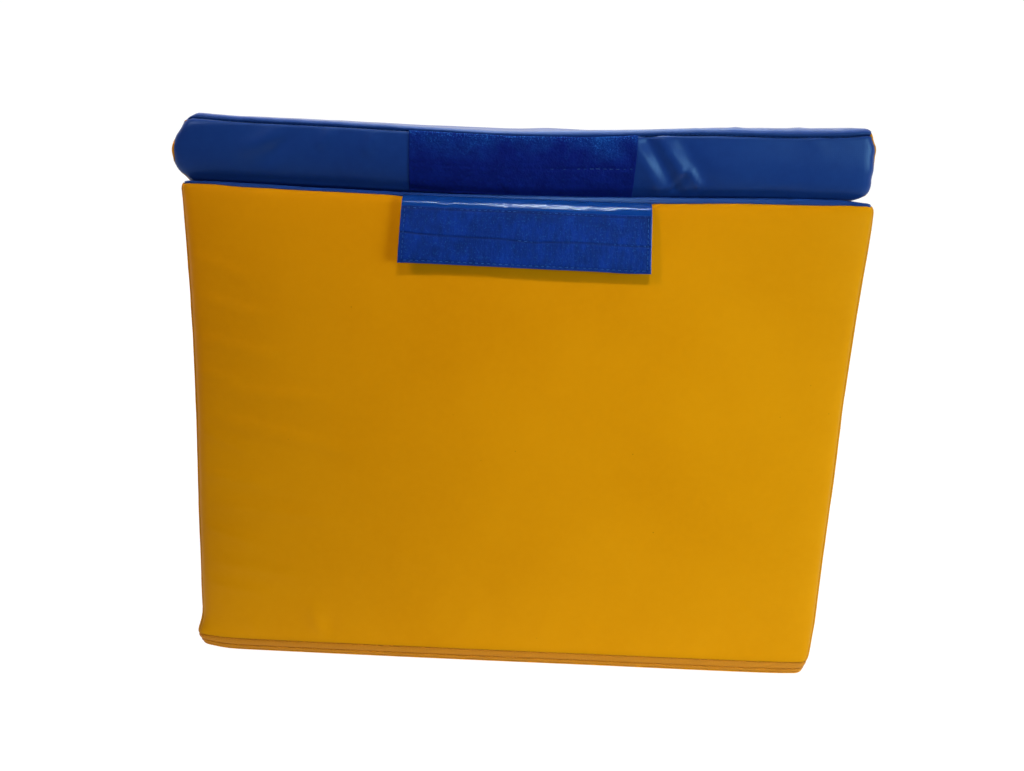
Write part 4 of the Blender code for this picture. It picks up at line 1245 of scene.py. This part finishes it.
flap_cover, flap_tape, flap_stitches = flap_pieces()
pieces.append((flap_tape, "hook", "flap", ["flap_hook_tape"], "blue_hook_tape"))
pieces.append((flap_stitches, "flap_thread", "flap", [], "blue_hook_tape"))


# ------------------------------------------------------------------ the fabric hinge
STRIP_HW, LEG = 0.2955, 0.0300


def hinge_strip():
    """The strip sewn to both ramps: down the thick one, round the bend at the back and along the thin one."""
    slope = np.array([1.0, -SLOPE]) / NORM          # down the ramps, towards +Y, as (y, z)
    up_n = np.array([SLOPE, 1.0]) / NORM
    mid = np.array([0.3004, thick_ramp(0.3004) + FOLD_GAP / 2])
    half_gap = FOLD_GAP / 2 / NORM - 0.00050
    pts = []
    for t in np.concatenate([[0, 0.0006], np.linspace(0.0015, LEG, 16)]):
        pts.append(mid - slope * (LEG - t) - up_n * half_gap)
    for a in np.linspace(-math.pi / 2, math.pi / 2, 11)[1:-1]:
        pts.append(mid + slope * half_gap * math.cos(a) + up_n * half_gap * math.sin(a))
    for t in np.concatenate([np.linspace(LEG, 0.0015, 16), [0.0006, 0]]):
        pts.append(mid - slope * (LEG - t) + up_n * half_gap)
    pts = np.array(pts)
    d = np.gradient(pts, axis=0)
    d /= np.linalg.norm(d, axis=1)[:, None]
    out = np.column_stack([-d[:, 1], d[:, 0]])
    if out[len(pts) // 2] @ slope < 0:
        out = -out
    s = np.concatenate([[0], np.cumsum(np.linalg.norm(np.diff(pts, axis=0), axis=1))])
    xs = edged(-STRIP_HW, STRIP_HW, 0.0065)
    X, K = np.meshgrid(xs, np.arange(len(pts)), indexing="ij")
    X, K = X.ravel(), K.ravel()
    bend = np.exp(-(((s[K] - s[-1] / 2) / 0.004) ** 2))
    w = 0.00035 * bend * noise2(X, 0 * X, 0.030, seed=81)
    ring_v = []
    for o in (0.00028, -0.00028):
        yz = pts[K] + out[K] * (o + w)[:, None]
        ring_v.append(np.column_stack([X, yz]))
    outer, inner = ring_v
    nu, nv = len(xs), len(pts)
    f = grid_faces(nu, nv)
    m = len(outer)
    idx = np.arange(nu * nv).reshape(nu, nv)
    ring = np.concatenate([idx[:-1, 0], idx[-1, :-1], idx[:0:-1, -1], idx[0, :0:-1]])
    nxt = np.roll(ring, -1)
    rim = np.column_stack([nxt, ring, ring + m, nxt + m])
    ob = mesh_object("hinge_strip_cloth", np.concatenate([outer, inner]), [f, f[:, ::-1] + m, rim],
                     np.concatenate([np.column_stack([X, s[K]])] * 2), marks={"seam": np.zeros(2 * m)})
    tidy(ob)
    threads = []
    for sign, body in ((-1, "thick_half"), (1, "thin_half")):
        at_all, al_all, n_all = [], [], []
        for back in (0.0035, 0.0240):
            mids = stitch_row(-STRIP_HW + 0.004, STRIP_HW - 0.004, 0.0042, 83, 0.05)
            c = mid - slope * back + up_n * sign * (half_gap - 0.00028)
            at = np.column_stack([mids, np.full(len(mids), c[0]), np.full(len(mids), c[1])])
            at_all.append(at)
            al_all.append(np.tile([1.0, 0, 0], (len(mids), 1)))
            n_all.append(np.tile([0.0, *(up_n * -sign)], (len(mids), 1)))
        at, al, n = np.concatenate(at_all), np.concatenate(al_all), np.concatenate(n_all)
        threads.append((thread(f"hinge_strip_{body}_thread", at, al, n, 0.0029, 0.00022), body))
    return ob, threads, s[-1], mid, half_gap, up_n


strip, strip_threads, STRIP_LENGTH, strip_mid, strip_half, strip_up = hinge_strip()
for ob, body in strip_threads:
    pieces.append((ob, "blue_thread", body, [], "blue_vinyl"))


# ------------------------------------------------------------------ materials
MATS = {}


class Tree:
    """Short hands for building a material's node tree."""

    def __init__(self, name):
        self.mat = bpy.data.materials.new(name)
        self.mat.use_nodes = True
        self.nt = self.mat.node_tree
        self.bsdf = self.nt.nodes["Principled BSDF"]

    def node(self, kind, **inputs):
        n = self.nt.nodes.new(kind)
        for k, v in inputs.items():
            if k.startswith("p_"):
                setattr(n, k[2:], v)
        for k, v in inputs.items():
            if not k.startswith("p_"):
                key = k.replace("_", " ")
                if isinstance(v, bpy.types.NodeSocket):
                    self.nt.links.new(v, n.inputs[key])
                else:
                    n.inputs[key].default_value = v
        return n

    def link(self, a, b):
        self.nt.links.new(a, b)

    def noise(self, vector, scale, detail=2.0, rough=0.5):
        n = self.node("ShaderNodeTexNoise", Vector=vector, Scale=scale, Detail=detail, Roughness=rough)
        return n.outputs["Fac"]

    def span(self, value, a, b, c, d):
        n = self.nt.nodes.new("ShaderNodeMapRange")
        self.link(value, n.inputs["Value"])
        for k, v in zip(("From Min", "From Max", "To Min", "To Max"), (a, b, c, d)):
            n.inputs[k].default_value = v
        return n.outputs["Result"]

    def maths(self, op, a, b=None):
        n = self.nt.nodes.new("ShaderNodeMath")
        n.operation = op
        for i, v in enumerate((a, b)):
            if v is None:
                continue
            if isinstance(v, bpy.types.NodeSocket):
                self.link(v, n.inputs[i])
            else:
                n.inputs[i].default_value = v
        return n.outputs[0]

    def mix(self, fac, a, b, blend="MIX"):
        n = self.nt.nodes.new("ShaderNodeMix")
        n.data_type = "RGBA"
        n.blend_type = blend
        n.clamp_factor = True
        for sock, v in ((n.inputs[0], fac), (n.inputs[6], a), (n.inputs[7], b)):
            if isinstance(v, bpy.types.NodeSocket):
                self.link(v, sock)
            else:
                sock.default_value = v
        return n.outputs[2]

    def bump(self, height, distance, strength=1.0, normal=None):
        n = self.nt.nodes.new("ShaderNodeBump")
        n.inputs["Strength"].default_value = strength
        n.inputs["Distance"].default_value = distance
        self.link(height, n.inputs["Height"])
        if normal is not None:
            self.link(normal, n.inputs["Normal"])
        return n.outputs["Normal"]


def rgba(c):
    return (*c, 1.0)


def vinyl(name, colour, deep, light, rough, weave=0.00004, grain=0.00005, creased=0.00012, specks=True, gloss=0.5, tint=(1, 1, 1), groove=0.55, ior=1.5):
    t = Tree(name)
    uv = t.node("ShaderNodeUVMap", p_uv_map="flat").outputs[0]
    obj = t.node("ShaderNodeTexCoord").outputs["Object"]
    seam = t.node("ShaderNodeAttribute", p_attribute_name="seam", p_attribute_type="GEOMETRY").outputs["Fac"]
    broad = t.noise(obj, 7.0, 3.0, 0.55)
    fine = t.noise(obj, 130.0, 2.0, 0.6)
    c = t.mix(t.span(broad, 0.30, 0.70, 0.0, 1.0), rgba(deep), rgba(colour))
    c = t.mix(t.span(fine, 0.35, 0.75, 0.0, 0.22), c, rgba(light))
    # painted shade: darker towards each seam and on the allowance rolled under it, by as much as groove gives
    c = t.mix(t.span(seam, 0.15, 1.0, 0.0, groove), c, rgba(tuple(v * 0.45 for v in deep)))
    if specks:
        dots = t.node("ShaderNodeTexVoronoi", Vector=obj, Scale=85.0, Randomness=1.0).outputs["Distance"]
        rare = t.noise(obj, 22.0, 1.0, 0.5)
        spot = t.maths("MULTIPLY", t.span(dots, 0.035, 0.055, 1.0, 0.0), t.span(rare, 0.66, 0.70, 0.0, 1.0))
        c = t.mix(t.maths("MULTIPLY", spot, 0.6), c, rgba(tuple(v * 0.25 for v in deep)))
    t.link(c, t.bsdf.inputs["Base Color"])
    smudge = t.noise(obj, 16.0, 4.0, 0.6)
    r = t.span(smudge, 0.25, 0.75, rough - 0.05, rough + 0.07)
    r = t.maths("ADD", r, t.span(seam, 0.0, 1.0, 0.0, 0.12))
    t.link(r, t.bsdf.inputs["Roughness"])
    t.bsdf.inputs["Specular IOR Level"].default_value = gloss
    t.bsdf.inputs["Specular Tint"].default_value = rgba(tint)
    t.bsdf.inputs["IOR"].default_value = ior
    # the scrim under the coating, the coating's grain, and soft handling creases
    m = t.node("ShaderNodeMapping", Vector=uv)
    m.inputs["Scale"].default_value = (1.0, 1.0, 1.0)
    wx = t.node("ShaderNodeTexWave", Vector=m.outputs[0], Scale=200.0, Distortion=1.2)
    wx.inputs["Detail"].default_value = 1.0
    wx.inputs["Detail Scale"].default_value = 0.6
    wx.bands_direction = "X"
    wy = t.node("ShaderNodeTexWave", Vector=m.outputs[0], Scale=200.0, Distortion=1.2)
    wy.inputs["Detail"].default_value = 1.0
    wy.inputs["Detail Scale"].default_value = 0.6
    wy.bands_direction = "Y"
    woven = t.maths("MAXIMUM", wx.outputs["Fac"], wy.outputs["Fac"])
    n = t.bump(woven, weave)
    n = t.bump(t.noise(obj, 900.0, 2.0, 0.6), grain, normal=n)
    n = t.bump(t.noise(obj, 90.0, 3.0, 0.55), creased, normal=n)
    t.link(n, t.bsdf.inputs["Normal"])
    return t.mat


MATS["yellow"] = vinyl("yellow_vinyl_look", (0.62, 0.262, 0.0020), (0.575, 0.234, 0.0014), (0.65, 0.285, 0.0040), 0.46, gloss=0.16,
                       tint=(1.0, 0.72, 0.15), weave=0.000010, grain=0.00003, creased=0.00010, groove=0.25, ior=1.25)
MATS["blue"] = vinyl("blue_vinyl_look", (0.0084, 0.0405, 0.222), (0.0066, 0.0308, 0.189), (0.0125, 0.055, 0.265), 0.36, gloss=0.31, specks=False,
                     tint=(0.30, 0.62, 1.0), weave=0.000018)
MATS["flap_blue"] = vinyl("flap_vinyl_look", (0.0042, 0.050, 0.290), (0.0034, 0.040, 0.250), (0.0080, 0.065, 0.33), 0.08, gloss=0.55, specks=False,
                          tint=(0.60, 0.80, 1.0), weave=0.00007, grain=0.00002, creased=0.00006)


def cloth(name, colour, deep, rough, thread_size, lumps=0.00006, sheen=0.0):
    """Woven tape."""
    t = Tree(name)
    uv = t.node("ShaderNodeUVMap", p_uv_map="flat").outputs[0]
    obj = t.node("ShaderNodeTexCoord").outputs["Object"]
    per = 1.0 / thread_size / 3.1416 * 1.0
    wx = t.node("ShaderNodeTexWave", Vector=uv, Scale=per * 0.5, Distortion=0.6)
    wx.bands_direction = "X"
    wy = t.node("ShaderNodeTexWave", Vector=uv, Scale=per * 0.5, Distortion=0.6)
    wy.bands_direction = "Y"
    wv = t.maths("MULTIPLY", wx.outputs["Fac"], wy.outputs["Fac"])
    c = t.mix(t.span(wv, 0.0, 0.8, 0.0, 1.0), rgba(deep), rgba(colour))
    c = t.mix(t.span(t.noise(obj, 60.0, 3.0), 0.3, 0.8, 0.0, 0.35), c, rgba(deep))
    t.link(c, t.bsdf.inputs["Base Color"])
    t.link(t.span(t.noise(obj, 200.0, 2.0), 0.3, 0.7, rough - 0.06, rough + 0.06), t.bsdf.inputs["Roughness"])
    t.bsdf.inputs["Specular IOR Level"].default_value = 0.15
    if sheen:
        t.bsdf.inputs["Sheen Weight"].default_value = sheen
        t.bsdf.inputs["Sheen Roughness"].default_value = 0.4
    n = t.bump(wv, lumps)
    n = t.bump(t.noise(obj, 1400.0, 2.0, 0.6), lumps * 0.8, normal=n)
    t.link(n, t.bsdf.inputs["Normal"])
    return t.mat


MATS["tape"] = cloth("zip_tape_look", (0.57, 0.225, 0.010), (0.46, 0.170, 0.005), 0.60, 0.0007)


def plain(name, colour, rough, spread=0.85, grain=0.00002, scale=900.0, metal=0.0, gloss=0.5):
    t = Tree(name)
    obj = t.node("ShaderNodeTexCoord").outputs["Object"]
    c = t.mix(t.span(t.noise(obj, scale / 6, 3.0), 0.3, 0.7, 0.0, 1.0), rgba(tuple(v * spread for v in colour)), rgba(colour))
    t.link(c, t.bsdf.inputs["Base Color"])
    t.link(t.span(t.noise(obj, scale / 9, 3.0), 0.3, 0.7, rough - 0.06, rough + 0.08), t.bsdf.inputs["Roughness"])
    t.bsdf.inputs["Metallic"].default_value = metal
    t.bsdf.inputs["Specular IOR Level"].default_value = gloss
    t.link(t.bump(t.noise(obj, scale, 2.0, 0.6), grain), t.bsdf.inputs["Normal"])
    return t.mat


MATS["coil"] = plain("zip_coil_look", (0.50, 0.20, 0.006), 0.50, 0.8, gloss=0.12)
MATS["yellow_thread"] = plain("yellow_thread_look", (0.50, 0.20, 0.006), 0.62, 0.75, 0.00005, 3000.0, gloss=0.12)
MATS["blue_thread"] = plain("blue_thread_look", (0.010, 0.062, 0.26), 0.55, 0.75, 0.00005, 3000.0, gloss=0.15)
MATS["pale_thread"] = plain("pale_thread_look", (0.010, 0.055, 0.24), 0.55, 0.8, 0.00005, 3000.0, gloss=0.15)
MATS["flap_thread"] = plain("flap_thread_look", (0.012, 0.095, 0.42), 0.55, 0.55, 0.00005, 3000.0, gloss=0.15)
MATS["metal"] = plain("zip_metal_look", (0.52, 0.50, 0.47), 0.30, 0.85, 0.00003, 1500.0, metal=1.0)


def foam_look():
    t = Tree("foam_look")
    obj = t.node("ShaderNodeTexCoord").outputs["Object"]
    cells = t.node("ShaderNodeTexVoronoi", Vector=obj, Scale=420.0, p_feature="DISTANCE_TO_EDGE").outputs["Distance"]
    c = t.mix(t.span(cells, 0.0, 0.3, 0.0, 1.0), (0.40, 0.37, 0.27, 1), (0.62, 0.59, 0.47, 1))
    t.link(c, t.bsdf.inputs["Base Color"])
    t.bsdf.inputs["Roughness"].default_value = 0.95
    t.link(t.bump(cells, 0.0006), t.bsdf.inputs["Normal"])
    return t.mat


MATS["foam"] = foam_look()


def hook_look():
    """Rows of tiny hooks on a ribbed band."""
    t = Tree("hook_tape_look")
    uv = t.node("ShaderNodeUVMap", p_uv_map="flat").outputs[0]
    obj = t.node("ShaderNodeTexCoord").outputs["Object"]
    stretch = t.node("ShaderNodeMapping", Vector=uv)
    stretch.inputs["Scale"].default_value = (1.0, 0.35, 1.0)
    tuft = t.node("ShaderNodeTexVoronoi", Vector=stretch.outputs[0], Scale=900.0, Randomness=0.8).outputs["Distance"]
    fleck = t.noise(obj, 640.0, 2.0, 0.7)
    streak = t.noise(stretch.outputs[0], 190.0, 3.0, 0.6)
    patch_ = t.noise(obj, 38.0, 3.0, 0.6)
    row = t.node("ShaderNodeAttribute", p_attribute_name="row", p_attribute_type="GEOMETRY").outputs["Fac"]
    c = t.mix(t.span(patch_, 0.30, 0.70, 0.0, 1.0), (0.0013, 0.0175, 0.170, 1), (0.0022, 0.0318, 0.300, 1))
    c = t.mix(t.span(streak, 0.35, 0.70, 0.0, 0.55), c, (0.0012, 0.0140, 0.112, 1))
    # painted glints: lighter flecks where the nylon hooks would catch the light
    c = t.mix(t.span(fleck, 0.56, 0.78, 0.0, 0.75), c, (0.014, 0.085, 0.34, 1))
    # painted shade: darker along the stitch rows, where the stitched grooves sink into the tape
    c = t.mix(t.span(row, 0.10, 0.90, 0.0, 0.75), c, (0.0007, 0.0085, 0.075, 1))
    t.link(c, t.bsdf.inputs["Base Color"])
    t.bsdf.inputs["Roughness"].default_value = 0.55
    t.bsdf.inputs["Specular IOR Level"].default_value = 0.22
    t.bsdf.inputs["Specular Tint"].default_value = (0.4, 0.65, 1.0, 1.0)
    n = t.bump(tuft, 0.00022, 0.9)
    n = t.bump(fleck, 0.00018, 0.8, normal=n)
    t.link(n, t.bsdf.inputs["Normal"])
    return t.mat


MATS["hook"] = hook_look()


def loop_look():
    """Brushed loop pile: navy, with painted sheen: paler patches over its upper half and pale fibre tips along its top
    edge.
    """
    t = Tree("loop_pile_look")
    obj = t.node("ShaderNodeTexCoord").outputs["Object"]
    nap = t.node("ShaderNodeAttribute", p_attribute_name="nap", p_attribute_type="GEOMETRY").outputs["Fac"]
    fuzz = t.noise(obj, 420.0, 3.0, 0.7)
    curl = t.node("ShaderNodeTexVoronoi", Vector=obj, Scale=520.0, p_feature="F1", Randomness=1.0).outputs["Distance"]
    clump = t.noise(obj, 70.0, 4.0, 0.65)
    sheen_patches = t.noise(obj, 26.0, 3.0, 0.6)
    # painted sheen: paler patches over the upper half of the patch, strongest at its top
    high = t.maths("MULTIPLY", t.span(nap, 0.50, 1.0, 0.0, 1.0), t.span(sheen_patches, 0.36, 0.62, 0.0, 1.0))
    high = t.maths("MULTIPLY", high, t.span(clump, 0.30, 0.62, 0.25, 1.0))
    c = t.mix(t.span(clump, 0.30, 0.70, 0.0, 1.0), (0.0012, 0.0068, 0.122, 1), (0.0017, 0.0115, 0.172, 1))
    c = t.mix(t.maths("MULTIPLY", high, 0.80), c, (0.0036, 0.058, 0.30, 1))
    c = t.mix(t.span(fuzz, 0.55, 0.80, 0.0, 0.4), c, (0.006, 0.040, 0.24, 1))
    # painted sheen: pale fibre tips along the top edge and in the paler patches
    sheen_tips = t.span(t.noise(obj, 760.0, 2.0, 0.75), 0.53, 0.66, 0.0, 1.0)
    rim = t.maths("MAXIMUM", t.span(nap, 0.88, 0.99, 0.0, 1.0), t.maths("MULTIPLY", high, 0.8))
    c = t.mix(t.maths("MULTIPLY", sheen_tips, rim), c, (0.022, 0.145, 0.60, 1))
    t.link(c, t.bsdf.inputs["Base Color"])
    t.bsdf.inputs["Roughness"].default_value = 0.85
    t.bsdf.inputs["Specular IOR Level"].default_value = 0.06
    t.bsdf.inputs["Sheen Weight"].default_value = 0.12
    t.bsdf.inputs["Sheen Roughness"].default_value = 0.35
    t.bsdf.inputs["Sheen Tint"].default_value = (0.02, 0.22, 1.0, 1.0)
    n = t.bump(fuzz, 0.0005, 1.0)
    n = t.bump(curl, 0.0004, 0.8, normal=n)
    t.link(n, t.bsdf.inputs["Normal"])
    return t.mat


MATS["loop"] = loop_look()


def paint(ob, key):
    ob.data.materials.clear()
    ob.data.materials.append(MATS[key])
    return ob


for ob, key, body, nodes in [
    (tall_end, "yellow", "thick_half", ["tall_end_panel"]),
    (thick_ramp_cover, "blue", "thick_half", ["thick_ramp_panel"]),
    (hinge_end_thick, "yellow", "thick_half", ["thick_hinge_end_panel"]),
    (sides["thick_left"], "yellow", "thick_half", ["thick_left_side_panel"]),
    (sides["thick_right"], "yellow", "thick_half", ["thick_right_side_panel"]),
    (nose, "blue", "thin_half", ["nose_panel"]),
    (thin_top, "blue", "thin_half", ["thin_base_panel"]),
    (hinge_end_thin, "yellow", "thin_half", ["thin_hinge_end_panel"]),
    (thin_ramp_cover, "blue", "thin_half", ["thin_ramp_panel"]),
    (sides["thin_left"], "yellow", "thin_half", ["thin_left_side_panel"]),
    (sides["thin_right"], "yellow", "thin_half", ["thin_right_side_panel"]),
]:
    paint(ob, key)
    finish_piece(ob, body, nodes)

for ob, key, body, nodes, slot_name in pieces:
    paint(ob, key)
    finish_piece(ob, body, nodes)

# the two pieces that bend
paint(flap_cover, "flap_blue")
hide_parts("flap_root", "flap_vinyl")
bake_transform(flap_cover)
paint(strip, "blue")
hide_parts("hinge_strip")
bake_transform(strip)

for node in ("thick_zip_slider", "thin_zip_slider", "thick_zip_pull", "thin_zip_pull",
             "thick_zip_left_stop", "thick_zip_right_stop", "thin_zip_left_stop", "thin_zip_right_stop"):
    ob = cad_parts[node]
    ob.data.materials.clear()
    ob.data.materials.append(MATS["metal"])


# ------------------------------------------------------------------ floor, light, camera
def stage_plane():
    """A pale floor that turns up into a backdrop a long way behind."""
    ys = np.concatenate([np.linspace(-4.0, 3.2, 25), 3.2 + 1.6 * np.sin(np.linspace(0.06, math.pi / 2, 12)), np.full(8, 4.8)])
    zs = np.concatenate([np.zeros(25), 1.6 - 1.6 * np.cos(np.linspace(0.06, math.pi / 2, 12)), np.linspace(2.0, 5.5, 8)]) - 0.0004
    xs = np.linspace(-6, 6, 25)
    X, K = np.meshgrid(xs, np.arange(len(ys)), indexing="ij")
    v = np.column_stack([X.ravel(), ys[K.ravel()], zs[K.ravel()]])
    ob = mesh_object("floor", v, grid_faces(len(xs), len(ys)))
    t = Tree("floor_look")
    obj = t.node("ShaderNodeTexCoord").outputs["Object"]
    xyz = t.node("ShaderNodeSeparateXYZ", Vector=obj).outputs
    y_at = xyz["Y"]
    c = t.mix(t.noise(obj, 3.0, 3.0), (0.09, 0.09, 0.09, 1), (0.11, 0.11, 0.11, 1))
    t.link(c, t.bsdf.inputs["Base Color"])
    t.bsdf.inputs["Emission Color"].default_value = (1, 1, 1, 1)
    t.link(t.span(y_at, -0.530, -0.515, 0.0, 0.98), t.bsdf.inputs["Emission Strength"])
    t.bsdf.inputs["Roughness"].default_value = 0.9
    t.bsdf.inputs["Specular IOR Level"].default_value = 0.1
    ob.data.materials.append(t.mat)
    return ob


stage_plane()


def area(name, place, target, size, power, colour=(1, 1, 1), spread=180):
    light = bpy.data.lights.new(name, "AREA")
    light.shape = "RECTANGLE"
    light.size, light.size_y = size
    light.energy = power
    light.color = colour
    light.spread = math.radians(spread)
    ob = bpy.data.objects.new(name, light)
    ob.location = place
    ob.rotation_mode = "QUATERNION"
    ob.rotation_quaternion = (Vector(target) - Vector(place)).to_track_quat("-Z", "Y")
    bpy.context.scene.collection.objects.link(ob)
    return ob


area("key", (1.12, -1.15, 0.42), (0.28, -0.3, 0.25), (0.6, 0.6), 2.05, (0.84, 1.0, 0.90), spread=60)
area("fill", (-1.1, -1.25, 1.45), (-0.14, -0.3, 0.48), (0.5, 0.5), 0.52, (1.0, 0.74, 0.70), spread=30)
area("strip", (0.10, -1.45, 1.75), (0.05, -0.3, 0.45), (0.28, 0.09), 1.55, (1.0, 0.94, 0.88), spread=60)
area("overhead", (0.15, 0.55, 2.5), (0.0, 0.30, 0.0), (1.2, 1.2), 45, (0.86, 0.94, 1.0))
area("back", (0.0, 2.6, 2.6), (0.0, 0.6, 0.0), (3.0, 1.5), 28)

world = bpy.data.worlds.new("studio")
bpy.context.scene.world = world
world.use_nodes = True
wt = world.node_tree
bg = wt.nodes["Background"]
co = wt.nodes.new("ShaderNodeTexCoord")
sep = wt.nodes.new("ShaderNodeSeparateXYZ")
wt.links.new(co.outputs["Generated"], sep.inputs[0])
mr = wt.nodes.new("ShaderNodeMapRange")
wt.links.new(sep.outputs["Y"], mr.inputs["Value"])
mr.inputs["From Min"].default_value = -0.05
mr.inputs["From Max"].default_value = 0.4
mr.inputs["To Min"].default_value = 0.02
mr.inputs["To Max"].default_value = 1.00
wt.links.new(mr.outputs["Result"], bg.inputs["Strength"])
bg.inputs["Color"].default_value = (1, 1, 1, 1)

scene = bpy.context.scene
scene.view_settings.view_transform = "Standard"
scene.view_settings.look = "None"

cam_data = bpy.data.cameras.new("camera")
cam = bpy.data.objects.new("camera", cam_data)
bpy.context.scene.collection.objects.link(cam)
cam_data.sensor_fit = "HORIZONTAL"
cam_data.sensor_width = 36.0
cam_data.lens = 960.0 * 36.0 / 1024.0
cam_data.clip_start, cam_data.clip_end = 0.01, 60.0
pitch, roll = math.radians(15.093), math.radians(2.436)
fwd = Vector((0.0, math.cos(pitch), -math.sin(pitch)))
right = Vector((1.0, 0.0, 0.0))
up = right.cross(fwd)
r2 = right * math.cos(roll) + up * math.sin(roll)
u2 = -right * math.sin(roll) + up * math.cos(roll)
m = Matrix((
    (r2.x, u2.x, -fwd.x, -0.0049),
    (r2.y, u2.y, -fwd.y, -1.1491),
    (r2.z, u2.z, -fwd.z, 0.5118),
    (0, 0, 0, 1),
))
cam.matrix_world = m
bpy.context.scene.camera = cam
